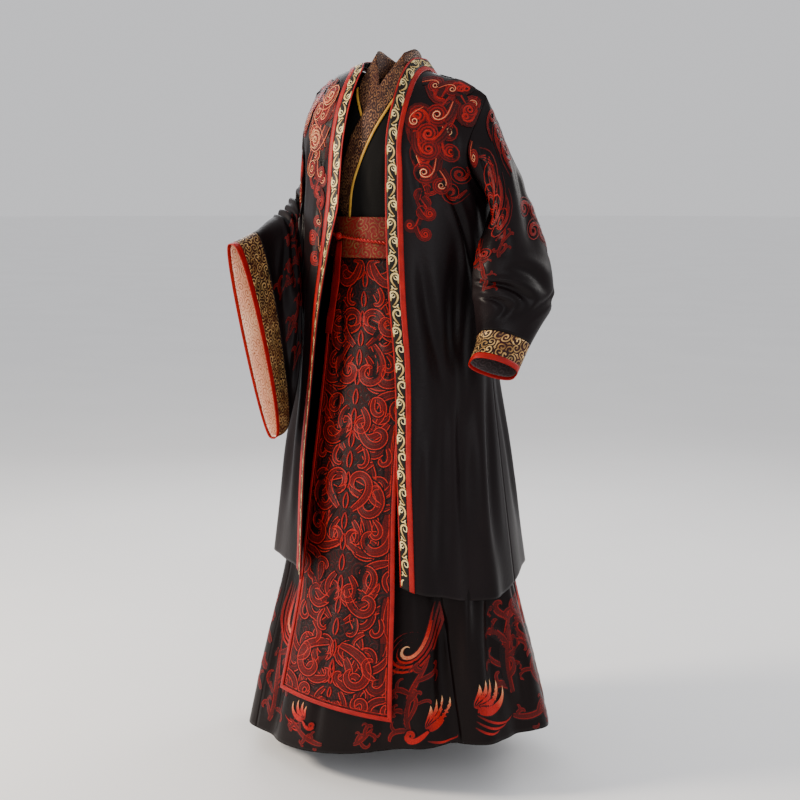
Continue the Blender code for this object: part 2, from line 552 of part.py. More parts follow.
strips = []
for side in (1, -1):
    out = OVERLAP_LIFT if side > 0 else 0.0
    u, v = grid((0,), INNER_ROWS)
    outer = inner_front(side, u, v)[:, 0]
    x_in = side * curve([(r[3], r[0]) for r in LAPEL_CHEST], outer[:, 2])
    z_in = curve([(r[3], r[1]) for r in LAPEL_CHEST], outer[:, 2])
    inner = chest(x_in, z_in, out)
    middle = chest((x_in + outer[:, 0]) / 2, (z_in + outer[:, 2]) / 2, out)
    away = (outer - middle) / np.linalg.norm(outer - middle, axis=1, keepdims=True)
    strip = np.stack([inner, middle, outer - away * STRIP_GAPS * SEAM_GAP], 1)
    strips.append(strip[::-1] if side > 0 else strip)
    across, v = grid(GOLD_REACH, INNER_ROWS[1:])
    gold = inner_front(side, across / front_width(lambda u: inner_front(side, u, v), v), v)
    normal = normals(gold, False, axis_of(gold))
    outer = gold + normal * (LIFT + THIN_WALL)
    shell(f"inner_piping_{SIDE_NAME[side]}", outer, normal, THIN_WALL, gold_piping)
neck = np.array(LAPEL_NECK)
neck = np.concatenate([neck[:0:-1], neck * [-1, 1, 1, -1, 1, 1]])
neck = np.stack([neck[:, :3], (neck[:, :3] + neck[:, 3:]) / 2, neck[:, 3:]], 1)
points = np.concatenate([strips[0], neck, strips[1]])
normal = normals(points, False, axis_of(points))
shell("inner_collar", points, normal, THIN_WALL, lapel_brocade)

# Skirt: four gores, with a seam at each of these turns
GORES = (("front", -45), ("left", 45), ("back", 135), ("right", 225))
GORE_COLUMNS = 16
SKIRT_ROWS = (0, 0.09, 0.2, 0.33, 0.47, 0.6, 0.7, 0.79, 0.87, 0.94, 1)
SKIRT_TOP = -0.324


def skirt(turn, v):
    hem = curve(SKIRT_HEM, (turn + 180) % 360 - 180)
    z = SKIRT_TOP + (hem - SKIRT_TOP) * v
    return ring(SKIRT_RINGS, turn, z, folds(SKIRT_FOLDS, turn, z))


turns = np.concatenate([np.linspace(start, start + 90, GORE_COLUMNS + 1) for _, start in GORES])
turn, v = grid(turns, SKIRT_ROWS)
shift = np.zeros(len(turns))
shift[::GORE_COLUMNS + 1], shift[GORE_COLUMNS::GORE_COLUMNS + 1] = 1, -1
radius = curve(SKIRT_RINGS, SKIRT_TOP + (SKIRT_HEM[0][1] - SKIRT_TOP) * v)
cloth = skirt(turn + shift * np.degrees(SEAM_GAP * SEAM_SHARE / radius), v)
normal = joined(normals(cloth, True, axis_of(cloth)), range(0, len(turns), GORE_COLUMNS + 1), 1)
for i, (name, _) in enumerate(GORES):
    columns = slice(i * (GORE_COLUMNS + 1), (i + 1) * (GORE_COLUMNS + 1))
    shell(f"skirt_{name}", cloth[:, columns], normal[:, columns], WALL, skirt_satin)


# Apron panel with its binding
def apron(u, v):
    bottom = APRON_BOTTOM[0] + (APRON_BOTTOM[1] - APRON_BOTTOM[0]) * u
    z = APRON_EDGES[0][0] + (bottom - APRON_EDGES[0][0]) * v
    left, right = curve(APRON_EDGES, z), curve(APRON_EDGES, z, 2)
    x = left + (right - left) * u
    out = curve(APRON_OUT, z)
    depth = curve(SKIRT_RINGS, z, 2) + out
    return np.stack([x, -depth * np.sqrt(1 - (x / (curve(SKIRT_RINGS, z) + out)) ** 2), z], -1)


APRON_ROWS = np.linspace(0, 1, 17)
APRON_COLUMNS = np.linspace(0, 1, 13)
cloth = apron(*grid(APRON_COLUMNS, APRON_ROWS))
shell("apron_panel", cloth, normals(cloth, False, axis_of(cloth)), WALL, apron_brocade)
path = [(0, v) for v in APRON_ROWS[:-1]] + [(u, 1) for u in APRON_COLUMNS]
path += [(1, v) for v in APRON_ROWS[-2::-1]]
outer = np.array(path, float)
size = np.linalg.norm(apron(0 * outer[:, 0] + 1, outer[:, 1]) - apron(0 * outer[:, 0], outer[:, 1]), axis=1)
share = APRON_BINDING / size
inner = np.stack([np.clip(outer[:, 0], share, 1 - share),
                  np.minimum(outer[:, 1], 1 - APRON_BINDING / (APRON_EDGES[0][0] - APRON_BOTTOM[0]))], 1)
strip = np.stack([apron(*outer.T), apron(*inner.T)], 1)
normal = normals(strip, False, axis_of(strip))
shell("apron_binding", strip + normal * (LIFT + THIN_WALL), normal, THIN_WALL, red_silk)

# Belt, with its cord, knot and ribbon
BELT_COLUMNS = 48
BELT_ROWS = 4
turn, z = grid(np.arange(BELT_COLUMNS) * 360 / BELT_COLUMNS, np.linspace(BELT_TOP, BELT_BOTTOM, BELT_ROWS))
cloth = ring(BELT_RINGS, turn, z)
shell("belt", cloth, normals(cloth, True, axis_of(cloth)), THIN_WALL, belt_brocade, True)

knot_x = ring(BELT_RINGS, np.array(KNOT_TURN), np.array(CORD_HEIGHT))[0]
knot_at = ring(BELT_RINGS, np.array(KNOT_TURN), CORD_HEIGHT + CORD_SLOPE * knot_x, KNOT_SIZE[1] + LIFT)
stop = np.degrees((KNOT_SIZE[0] + 2 * SEAM_GAP) / np.linalg.norm(knot_at[:2]))
turn = np.linspace(KNOT_TURN + stop, KNOT_TURN + 360 - stop, CORD_STATIONS)
height = CORD_HEIGHT + CORD_SLOPE * ring(BELT_RINGS, turn, 0 * turn + CORD_HEIGHT)[:, 0]
middle = ring(BELT_RINGS, turn, height, CORD_RADIUS + LIFT)
outward = ring(BELT_RINGS, turn, height, CORD_RADIUS + LIFT + 1) - middle
angle = np.arange(CORD_SIDES) * 2 * np.pi / CORD_SIDES
verts = (middle[:, None] + CORD_RADIUS * (outward[:, None] * np.cos(angle)[None, :, None]
                                          + np.array([0, 0, 1.0]) * np.sin(angle)[None, :, None]))
faces = [tuple(range(CORD_SIDES)), tuple(range((CORD_STATIONS - 1) * CORD_SIDES, CORD_STATIONS * CORD_SIDES))]
for r in range(CORD_STATIONS - 1):
    for c in range(CORD_SIDES):
        d = (c + 1) % CORD_SIDES
        this, after = r * CORD_SIDES, (r + 1) * CORD_SIDES
        faces.append((this + c, this + d, after + d, after + c))
add("belt_cord", verts.reshape(-1, 3), faces, red_silk)

ball = bmesh.new()
bmesh.ops.create_uvsphere(ball, u_segments=12, v_segments=8, radius=1)
bmesh.ops.scale(ball, vec=KNOT_SIZE, verts=ball.verts)
turned = Matrix.Rotation(np.radians(KNOT_TURN), 3, "Z")
bmesh.ops.rotate(ball, cent=(0, 0, 0), matrix=turned, verts=ball.verts)
bmesh.ops.translate(ball, vec=knot_at, verts=ball.verts)
mesh = bpy.data.meshes.new("belt_knot")
ball.to_mesh(mesh)
ball.free()
mesh.materials.append(red_silk)
bpy.context.collection.objects.link(bpy.data.objects.new("belt_knot", mesh))

rows = np.array(TAIL_LINE)
z = rows[:, :1] * np.ones(3)
x = rows[:, 1:2] + rows[:, 2:3] * np.array([-1, 0, 1])
depth = curve(SKIRT_RINGS, z, 2) + rows[:, 3:]
cloth = np.stack([x, -depth * np.sqrt(1 - (x / (curve(SKIRT_RINGS, z) + rows[:, 3:])) ** 2), z], -1)
shell("belt_ribbon", cloth, normals(cloth, False, axis_of(cloth)), THIN_WALL, red_silk)
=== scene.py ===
import itertools
import math

import bmesh
import bpy
import numpy as np
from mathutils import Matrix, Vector


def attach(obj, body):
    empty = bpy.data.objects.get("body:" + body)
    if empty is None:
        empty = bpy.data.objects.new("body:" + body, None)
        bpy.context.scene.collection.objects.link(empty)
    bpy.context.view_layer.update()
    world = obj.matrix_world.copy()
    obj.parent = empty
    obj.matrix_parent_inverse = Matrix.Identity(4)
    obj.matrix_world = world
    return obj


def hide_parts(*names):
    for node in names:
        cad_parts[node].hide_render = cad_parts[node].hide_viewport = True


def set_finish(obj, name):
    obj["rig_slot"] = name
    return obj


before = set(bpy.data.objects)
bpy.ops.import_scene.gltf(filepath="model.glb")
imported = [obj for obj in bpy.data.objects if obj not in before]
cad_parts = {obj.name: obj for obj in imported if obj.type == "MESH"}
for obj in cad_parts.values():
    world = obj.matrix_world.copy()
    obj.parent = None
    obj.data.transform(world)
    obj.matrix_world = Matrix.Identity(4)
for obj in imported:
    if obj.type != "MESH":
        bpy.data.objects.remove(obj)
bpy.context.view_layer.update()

print("frame loaded,", len(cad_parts), "nodes")

# Metres, +Z up. The wearer faces -Y and the wearer's left is +X; z = 0 is the base of the neck.
# A turn is an angle about the body in degrees: 0 front centre, 90 the wearer's left, 180 the back.

camera = {"azimuth": 28.0, "elevation": 9.0, "target": (0.0, 0.0, -0.69), "distance": 2.87, "lens": 60.0,
          "sensor": 36.0}


def placeCamera(spec):
    a, e = math.radians(spec["azimuth"]), math.radians(spec["elevation"])
    back = Vector((math.sin(a) * math.cos(e), -math.cos(a) * math.cos(e), math.sin(e)))
    data = bpy.data.cameras.new("camera")
    data.lens = spec["lens"]
    data.sensor_width = spec["sensor"]
    eye = bpy.data.objects.new("camera", data)
    eye.location = Vector(spec["target"]) + back * spec["distance"]
    eye.rotation_euler = back.to_track_quat("Z", "Y").to_euler()
    bpy.context.collection.objects.link(eye)
    bpy.context.scene.camera = eye


placeCamera(camera)


# Shader maths: a wire wraps one socket, and an expression on wires adds its Math nodes
class Wire:
    def __init__(self, look, socket):
        self.look, self.socket = look, socket

    def maths(self, operation, *others):
        return self.look.node("ShaderNodeMath", {"operation": operation}, dict(enumerate((self,) + others)))

    def __add__(self, other):
        return self.maths("ADD", other)

    def __sub__(self, other):
        return self.maths("SUBTRACT", other)

    def __rsub__(self, other):
        return self * -1 + other

    def __mul__(self, other):
        return self.maths("MULTIPLY", other)

    def __truediv__(self, other):
        return self.maths("DIVIDE", other)

    def __gt__(self, other):
        return self.maths("GREATER_THAN", other)

    __radd__, __rmul__ = __add__, __mul__

    def sine(self):
        return self.maths("SINE")

    def ramp(self, low, high, start=0.0, end=1.0):
        return self.look.node("ShaderNodeMapRange", {"clamp": True}, {
            "Value": self, "From Min": low, "From Max": high, "To Min": start, "To Max": end})

    def band(self, middle, half, soft):  # 1 within half of middle, fading over soft
        return (self - middle).maths("ABSOLUTE").ramp(half, half + soft, 1.0, 0.0)


class Look:
    def __init__(self, name, roughness=0.5, specular=0.5):
        self.material = bpy.data.materials.new(name)
        self.material.use_nodes = True
        self.tree = self.material.node_tree
        self.shader = self.tree.nodes["Principled BSDF"]
        self.shader.inputs["Roughness"].default_value = roughness
        self.shader.inputs["Specular IOR Level"].default_value = specular

    def node(self, kind, settings=None, values=None, output=0):
        made = self.tree.nodes.new(kind)
        for key, value in (settings or {}).items():
            if key == "stops":
                ramp = made.color_ramp
                while len(ramp.elements) < len(value):
                    ramp.elements.new(1.0)
                for element, (place, colour) in zip(ramp.elements, value):
                    element.position = place
                    element.color = (*colour, 1)
            else:
                setattr(made, key, value)
        for key, value in (values or {}).items():
            if isinstance(value, Wire):
                self.tree.links.new(value.socket, made.inputs[key])
            else:
                made.inputs[key].default_value = value
        return Wire(self, made.outputs[output])

    def blend(self, share, first, second):  # a Mix node takes colours at sockets 6 and 7 and gives one at 2
        pair = {0: share}
        for slot, colour in ((6, first), (7, second)):
            pair[slot] = colour if isinstance(colour, Wire) else (*colour, 1)
        return self.node("ShaderNodeMix", {"data_type": "RGBA"}, pair, 2)

    def cloth(self):  # the cloth's own flat measures in metres: both, across, down
        where = self.node("ShaderNodeUVMap", {"uv_map": "cloth"})
        return where, self.part(where, "X"), self.part(where, "Y")

    def part(self, vector, axis):
        return self.node("ShaderNodeSeparateXYZ", None, {0: vector}, axis)

    def vector(self, operation, values, output=0):
        return self.node("ShaderNodeVectorMath", {"operation": operation}, values, output)

    def stretch(self, vector, scale, place=(0, 0, 0)):
        return self.node("ShaderNodeMapping", None, {"Vector": vector, "Scale": scale, "Location": place})

    def noise(self, vector, scale, detail=2.0, distortion=0.0, output=0):
        return self.node("ShaderNodeTexNoise", None, {
            "Vector": vector, "Scale": scale, "Detail": detail, "Distortion": distortion}, output)

    def bump(self, height, distance, strength, before=None):
        values = {"Height": height, "Distance": distance, "Strength": strength}
        if before:
            values["Normal"] = before
        return self.node("ShaderNodeBump", None, values)

    def feed(self, **wires):
        sockets = {"colour": "Base Color", "roughness": "Roughness", "normal": "Normal",
                   "metallic": "Metallic"}
        for name, value in wires.items():
            socket = self.shader.inputs[sockets[name]]
            if isinstance(value, Wire):
                self.tree.links.new(value.socket, socket)
            else:
                socket.default_value = value
        return self.material


# Scales are turns to a metre, threads, ribs and stitches radians to a metre, and depths metres
weave = {
    "cloud": 9.0, "rumple": 13.0, "rumpleDepth": 0.005, "fine": 120.0, "fineDepth": 0.0006,
    "threadsAcross": 2600, "threadsDown": 1900, "threadDepth": 0.00006, "anisotropic": 0.35,
    "silkCloud": 40.0, "slub": 60.0, "slubDepth": 0.003, "ribs": 3600, "ribDepth": 0.0001,
    "sway": 45.0, "swayShare": 0.35, "patch": 55.0, "ground": 14.0, "figureDepth": 0.0007,
    "stitches": 4200, "stitchSlant": 900, "stitchDepth": 0.00012, "uneven": 320.0,
}


def satin(name, colour, bright, roughness, specular):
    look = Look(name, roughness, specular)
    look.shader.inputs["Anisotropic"].default_value = weave["anisotropic"]
    where, across, down = look.cloth()
    cloudy = look.noise(look.stretch(where, (1, 0.35, 1)), weave["cloud"], 3.0)
    rumple = look.noise(look.stretch(where, (1, 0.4, 1)), weave["rumple"], 2.0, 0.5)
    thread = (across * weave["threadsAcross"]).sine() * 0.5 + (down * weave["threadsDown"]).sine() * 0.5
    normal = look.bump(rumple, weave["rumpleDepth"], 0.22)
    normal = look.bump(look.noise(where, weave["fine"]), weave["fineDepth"], 0.4, normal)
    normal = look.bump(thread, weave["threadDepth"], 0.5, normal)
    return look.feed(colour=look.blend(cloudy.ramp(0.3, 0.7), colour, bright),
                     roughness=cloudy.ramp(0.25, 0.75, roughness - 0.05, roughness + 0.08), normal=normal)


def plainSilk(name, colour, dark, roughness):
    look = Look(name, roughness, 0.2)
    where, _, down = look.cloth()
    cloudy = look.noise(where, weave["silkCloud"], 3.0)
    slub = look.noise(look.stretch(where, (1, 0.4, 1)), weave["slub"], 3.0)
    normal = look.bump(slub, weave["slubDepth"], 0.5)
    return look.feed(colour=look.blend(cloudy.ramp(0.3, 0.75), dark, colour),
                     normal=look.bump((down * weave["ribs"]).sine(), weave["ribDepth"], 0.6, normal))


def curls(look, where, net, pitch, seed):
    # One small scroll in each cell of a scattered net: 0 to 1 across each turn of its line, and the cell's
    # chance
    moved = look.stretch(where, (1, 1, 1), (seed, seed, 0))
    field = look.node("ShaderNodeTexVoronoi", {"voronoi_dimensions": "2D", "feature": "F1"},
                      {"Vector": moved, "Scale": 1 / net, "Randomness": 0.8}).socket.node
    spot = look.vector("SUBTRACT", {0: moved, 1: Wire(look, field.outputs["Position"])})
    x, y = look.part(spot, "X"), look.part(spot, "Y")
    angle = y.maths("ARCTAN2", x) / math.tau
    chance = look.part(Wire(look, field.outputs["Color"]), "X")
    hand = (chance > 0.5) * 2 - 1
    radius = look.vector("LENGTH", {0: spot}, "Value")
    return (radius / pitch + angle * hand + chance).maths("FRACT"), chance


def brocade(name, grounds, figures, net, pitch, line, roughness, metallic, wear, seed):
    # Colours of ground and figure, then a scroll's cell, the pitch of its turns and its line's half width
    # in turns
    look = Look(name, roughness, 0.2)
    where, across, down = look.cloth()
    shift = look.vector("SCALE", {0: look.noise(where, weave["sway"], 1.0, output="Color"),
                                  "Scale": net * weave["swayShare"]})
    turn, chance = curls(look, look.vector("ADD", {0: where, 1: shift}), net, pitch, seed)
    patchy = look.noise(where, weave["patch"], 3.0).ramp(0.35, 0.6, 1 - wear * 2, 1.0)
    lift = turn.band(0.5, line, 0.07) * patchy
    threads = (across * weave["threadsAcross"]).sine() * (down * weave["threadsAcross"]).sine()
    normal = look.bump(threads, weave["ribDepth"], 0.5, look.bump(lift, weave["figureDepth"], 0.6))
    ground = look.blend(look.noise(where, weave["ground"]).ramp(0.35, 0.65), *grounds)
    return look.feed(colour=look.blend(lift, ground, look.blend(chance, *figures)), normal=normal,
                     roughness=lift.ramp(0, 1, roughness + 0.12, roughness - 0.12), metallic=lift * metallic)


def needlework(name, stops, roughness, metallic):
    # Stitched figures: colour by the stitch's own tone, threads across the line
    look = Look(name, roughness, 0.15)
    where, across, along = look.cloth()
    tone = look.node("ShaderNodeAttribute", {"attribute_name": "tone"}, None, "Fac")
    uneven = look.noise(where, weave["uneven"]).ramp(0.3, 0.7, -0.06, 0.06)
    stitch = (along * weave["stitches"] + across * weave["stitchSlant"]).sine()
    return look.feed(colour=look.node("ShaderNodeValToRGB", {"stops": stops}, {0: tone + uneven}),
                     normal=look.bump(stitch, weave["stitchDepth"], 0.7), metallic=metallic)


looks = {
    "black_satin": satin("black satin", (0.0046, 0.0026, 0.0029), (0.0090, 0.0052, 0.0056), 0.36, 0.11),
    "skirt_satin": satin("skirt satin", (0.0038, 0.0019, 0.0018), (0.0074, 0.0038, 0.0036), 0.35, 0.10),
    "black_cloth": satin("black cloth", (0.0025, 0.0020, 0.0018), (0.0050, 0.0042, 0.0036), 0.75, 0.10),
    "scroll_band": satin("band ground", (0.0040, 0.0030, 0.0022), (0.0085, 0.0062, 0.0040), 0.5, 0.2),
    "red_silk": plainSilk("red silk", (0.38, 0.0045, 0.0030), (0.22, 0.0028, 0.0020), 0.45),
    "gold_piping": plainSilk("gold piping", (0.60, 0.33, 0.045), (0.38, 0.18, 0.02), 0.36),
    "cuff_brocade": brocade("cuff brocade", ((0.006, 0.002, 0.002), (0.050, 0.006, 0.005)),
                            ((0.46, 0.24, 0.07), (0.80, 0.52, 0.20)),
                            0.016, 0.0056, 0.16, 0.42, 0.25, 0.40, 0.0),
    "lapel_brocade": brocade("lapel brocade", ((0.010, 0.0025, 0.002), (0.030, 0.006, 0.004)),
                             ((0.16, 0.060, 0.024), (0.30, 0.14, 0.055)),
                             0.014, 0.0050, 0.15, 0.5, 0.15, 0.35, 2.0),
    "belt_brocade": brocade("belt brocade", ((0.11, 0.0030, 0.0020), (0.18, 0.0050, 0.0035)),
                            ((0.10, 0.036, 0.012), (0.20, 0.090, 0.028)),
                            0.018, 0.0062, 0.16, 0.5, 0.15, 0.35, 4.0),
    "facing_silk": brocade("facing silk", ((0.92, 0.58, 0.43), (1.0, 0.80, 0.62)),
                           ((0.42, 0.15, 0.08), (0.62, 0.32, 0.18)),
                           0.017, 0.0058, 0.12, 0.55, 0.0, 0.20, 6.0),
    "grey_facing": brocade("grey facing", ((0.045, 0.033, 0.033), (0.075, 0.056, 0.056)),
                           ((0.10, 0.075, 0.075), (0.12, 0.09, 0.09)),
                           0.016, 0.0055, 0.18, 0.6, 0.0, 0.3, 8.0),
    "apron_brocade": brocade("apron ground", ((0.0045, 0.0015, 0.0015), (0.012, 0.0022, 0.0020)),
                             ((0.030, 0.002, 0.002), (0.055, 0.003, 0.002)),
                             0.022, 0.0075, 0.16, 0.42, 0.0, 0.2, 10.0),
}
redWork = needlework("red needlework", ((0.0, (0.0035, 0.0012, 0.0012)), (0.22, (0.060, 0.0016, 0.0012)),
                                        (0.45, (0.20, 0.0030, 0.0022)), (0.62, (0.40, 0.0070, 0.0045)),
                                        (0.82, (0.58, 0.12, 0.05)), (1.0, (0.76, 0.46, 0.22))), 0.45, 0.0)
goldWork = needlework("gold needlework", ((0.0, (0.08, 0.035, 0.008)), (0.4, (0.38, 0.22, 0.06)),
                                          (0.75, (0.70, 0.50, 0.18)), (1.0, (0.86, 0.72, 0.38))), 0.38, 0.15)
print("finishes made")


def curve(rows, x, column=1):  # one column of a table, interpolated smoothly by its first column
    rows = np.array(sorted(rows), float)
    t, y = rows[:, 0], rows[:, column]
    slope = np.diff(y) / np.diff(t)
    m = np.concatenate([slope[:1], (slope[1:] + slope[:-1]) / 2, slope[-1:]])
    m[1:-1][slope[1:] * slope[:-1] <= 0] = 0
    x = np.clip(x, t[0], t[-1])
    i = np.clip(np.searchsorted(t, x, side="right") - 1, 0, len(t) - 2)
    h = t[i + 1] - t[i]
    s = (x - t[i]) / h
    return ((2 * s ** 3 - 3 * s ** 2 + 1) * y[i] + (s ** 3 - 2 * s ** 2 + s) * h * m[i]
            + (3 * s ** 2 - 2 * s ** 3) * y[i + 1] + (s ** 3 - s ** 2) * h * m[i + 1])


def through(rows, places, x):  # a smooth line through rows of figures that stand at the given places
    return np.stack([curve(list(zip(places, column)), x) for column in np.transpose(rows)], -1)


def ease(x):
    x = np.clip(x, 0, 1)
    return x * x * (3 - 2 * x)


def unit(vectors):
    return vectors / np.maximum(np.linalg.norm(vectors, axis=-1, keepdims=True), 1e-12)


def grid(us, vs):
    return np.meshgrid(np.array(us, float), np.array(vs, float))


def steps(path):  # the distance from each point of a path, or of each of several, to the one before
    return np.linalg.norm(np.diff(path, axis=-2, prepend=path[..., :1, :]), axis=-1)


def ring(rows, turn, z, out=0.0):  # rows of a body form: height, half width, depth in front, depth behind
    t = np.radians(turn)
    depth = np.where(np.cos(t) > 0, curve(rows, z, 2), curve(rows, z, 3)) + out
    return np.stack([(curve(rows, z) + out) * np.sin(t), -depth * np.cos(t), z + 0 * t], -1)


def onForm(rows, x, z, out):  # a place in front of a body form, by its distance from the middle
    return -(curve(rows, z, 2) + out) * np.sqrt(1 - (x / (curve(rows, z) + out)) ** 2)


def folds(rows, turn, z, fade=0.35):  # rows: turn, spread in degrees, height of its top, depth
    total = 0 * turn
    for at, spread, top, depth in rows:
        away = (turn - at + 180) % 360 - 180
        total = total + depth * np.exp(-(away / spread) ** 2) * ease((top - z) / fade)
    return total


class Cloth:
    # A woven sheet as a grid of points: rows down, columns across. On a tube the last column is the first
    # again.
    def __init__(self, points, down, tube=False, inside=None):
        self.points, self.down, self.tube = points.copy(), np.array(down, float), tube
        self.inside = points * [0, 0, 1] if inside is None else inside
        self.measure()

    def measure(self):
        p = self.points
        across = np.gradient(p, axis=1)
        if self.tube:
            across[:, 0] = across[:, -1] = p[:, 1] - p[:, -2]
        n = unit(np.cross(across, np.gradient(p, axis=0)))
        self.normals = n if np.sum(n * (p - self.inside)) > 0 else -n
        self.across = np.cumsum(steps(p), 1)

    def crease(self, rows, fade):
        # Columns: across and down of one end, of the other end, half width, depth, sideways bow. On a tube
        # a crease that starts before zero comes from the far side of the seam.
        b = self.down[:, None] + 0 * self.across
        total = 0 * b
        laps = (0, self.across[:, -1:]) if self.tube else (0,)
        for lap, (a0, b0, a1, b1, width, depth, bow) in itertools.product(laps, rows):
            a = self.across - lap
            run = np.array([a1 - a0, b1 - b0])
            length = np.linalg.norm(run)
            run /= length
            t = ((a - a0) * run[0] + (b - b0) * run[1]) / length
            off = (a - a0) * -run[1] + (b - b0) * run[0] - bow * np.sin(np.pi * np.clip(t, 0, 1))
            taper = ease(t / 0.35) * ease((1 - t) / 0.35)
            wide = width * (0.7 + 0.5 * np.clip(t, 0, 1))
            banks = 0.5 * np.exp(-((off - 2 * wide) / (1.3 * wide)) ** 2) \
                + 0.25 * np.exp(-((off + 2 * wide) / (1.2 * wide)) ** 2)
            total -= depth * taper * (np.exp(-(off / wide) ** 2) - banks)
        self.points += self.normals * (total * fade)[..., None]
        self.measure()
        return self

    def raised(self, out):
        return Cloth(self.points + self.normals * out, self.down, self.tube, self.inside)

    def at(self, a, b, out=0.0):  # the place on the sheet at a distance across and down, moved outward
        rows, cols = self.across.shape
        r = np.clip(np.interp(b, self.down, np.arange(rows)), 0, rows - 1.001)
        r0 = r.astype(int)
        fr = (r - r0)[:, None]
        reach = self.across[r0] * (1 - fr) + self.across[r0 + 1] * fr
        c = np.clip(np.sum(reach <= a[:, None], 1) - 1, 0, cols - 2)
        k = np.arange(len(a))
        fc = np.clip((a - reach[k, c]) / (reach[k, c + 1] - reach[k, c] + 1e-9), 0, 1)[:, None]

        def mixed(values):
            return ((values[r0, c] * (1 - fc) + values[r0, c + 1] * fc) * (1 - fr)
                    + (values[r0 + 1, c] * (1 - fc) + values[r0 + 1, c + 1] * fc) * fr)
        return mixed(self.points) + unit(mixed(self.normals)) * np.reshape(out, (-1, 1))

    def columns(self, start, stop):
        part = Cloth.__new__(Cloth)
        part.points, part.down, part.tube = self.points[:, start:stop], self.down, False
        part.normals, part.inside = self.normals[:, start:stop], self.inside[:, start:stop]
        part.across = self.across[:, start:stop] - self.across[:, start:start + 1]
        return part

    def area(self):
        p = self.points
        n = np.cross(p[1:, 1:] - p[:-1, :-1], p[1:, :-1] - p[:-1, 1:])
        return float(np.linalg.norm(n, axis=2).sum() / 2)


def layGrid(bm, places):  # a flat grid laid on rows and columns of places
    rows, cols = places.shape[:2]
    made = bmesh.ops.create_grid(bm, x_segments=cols - 1, y_segments=rows - 1, size=0.5)["verts"]
    for vert, place in zip(made, places.reshape(-1, 3).tolist()):
        vert.co = place
    bm.verts.index_update()


def layMeasures(bm, flat):  # the cloth's own measures, as the UV map that its finish follows
    layer = bm.loops.layers.uv.new("cloth")
    for face in bm.faces:
        for loop in face.loops:
            loop[layer].uv = flat[loop.vert.index]


def addPiece(name, bm, look, smooth=True):
    mesh = bpy.data.meshes.new(name)
    bm.to_mesh(mesh)
    bm.free()
    if smooth:
        mesh.shade_smooth()
    mesh.materials.append(look)
    piece = bpy.data.objects.new(name, mesh)
    bpy.context.collection.objects.link(piece)
    return piece


def sheetMesh(cloth):
    bm = bmesh.new()
    layGrid(bm, cloth.points)
    layMeasures(bm, np.stack([cloth.across, cloth.down[:, None] + 0 * cloth.across], -1).reshape(-1, 2))
    if cloth.tube:
        bmesh.ops.remove_doubles(bm, verts=bm.verts, dist=1e-5)
    bm.normal_update()
    bm.faces.ensure_lookup_table()
    middle = bm.faces[len(bm.faces) // 2]
    away = cloth.points.reshape(-1, 3) - np.array(middle.calc_center_median())
    near = np.argmin(np.linalg.norm(away, axis=1))
    if middle.normal.dot(Vector(cloth.normals.reshape(-1, 3)[near])) < 0:
        bmesh.ops.reverse_faces(bm, faces=bm.faces)
    return bm


def sew(name, cloth, slot, held, wall, extras=()):
    # The finished piece of one sheet: it stands for its solid and rides on the body.
    # A trim too narrow to be a sheet of its own (held is None) goes with the sheet that it is sewn to.
    piece = addPiece(f"{name}_cloth", sheetMesh(cloth), looks[slot])
    thick = piece.modifiers.new("wall", "SOLIDIFY")
    thick.thickness = wall
    thick.offset = -1
    thick.use_even_offset = False
    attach(piece, "root")
    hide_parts(name)
    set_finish(piece, slot)
    if held is None:
        return piece
    wide, long = float(cloth.across[:, -1].max()), float(cloth.down[-1] - cloth.down[0])
    share = min(max(cloth.area() / (wide * long), 0.3), 1.0)
    for extra in extras:
        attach(extra, "root")
        if "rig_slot" not in extra:
            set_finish(extra, "red_silk")
    return piece


# Needlework: every figure is a set of strokes on a sheet, each a path (across, down) with its width and
# tone along it and a level, which says what lies on what. Headings are angles from across towards down.
strokeStations = 20
black, dark, red, bright, pink, cream = 0.0, 0.22, 0.45, 0.60, 0.80, 1.0


def spread(tones, t):  # tones laid evenly along a line
    return np.interp(t, np.linspace(0, 1, len(tones)), tones)


def stroke(x, y, heading, length, turn, width, tones, power=2.0, sway=0.0, tip=0.35, level=0):
    t = np.linspace(0, 1, strokeStations * 6)
    angle = heading + np.cumsum(turn * (power + 1) * t ** power + sway * np.cos(np.pi * t)) / len(t)
    xs = x + np.cumsum(np.cos(angle)) * length / len(t)
    ys = y + np.cumsum(np.sin(angle)) * length / len(t)
    # stations stand closer where it winds up
    dense = np.cumsum(1 / len(t) + 0.22 * np.abs(np.diff(angle, prepend=angle[0])))
    pick = np.searchsorted(dense, np.linspace(dense[0], dense[-1], strokeStations) - 1e-9)
    t = t[pick]
    swell = np.sin(np.pi * t ** 0.7) ** 0.8
    broad = width * (tip + (1 - tip) * swell) * np.minimum(1, (1 - t) * 8 + 0.2)
    return np.stack([xs[pick], ys[pick]], 1), broad, spread(tones, t), level


def leftOf(path):  # across a path, or each of several, from its own heading
    along = unit(np.gradient(path, axis=-2))
    return np.stack([-along[..., 1], along[..., 0]], -1)


def echoes(one, rows, scale=1.0):
    # Lines along a stroke: distance to one side, share of its width, tones (None: its own), levels up
    path, broad, tone, level = one
    out = []
    for away, narrower, tones, up in rows:
        mine = tone if tones is None else spread(tones, np.linspace(0, 1, len(path)))
        out.append((path + leftOf(path) * away * scale, broad * narrower, mine, level + up))
    return out


def onGround(one, wider, tones=(black, black)):  # a stroke on a wider one
    return echoes(one, ((0, wider, tones, 0), (0, 1, None, 1)))


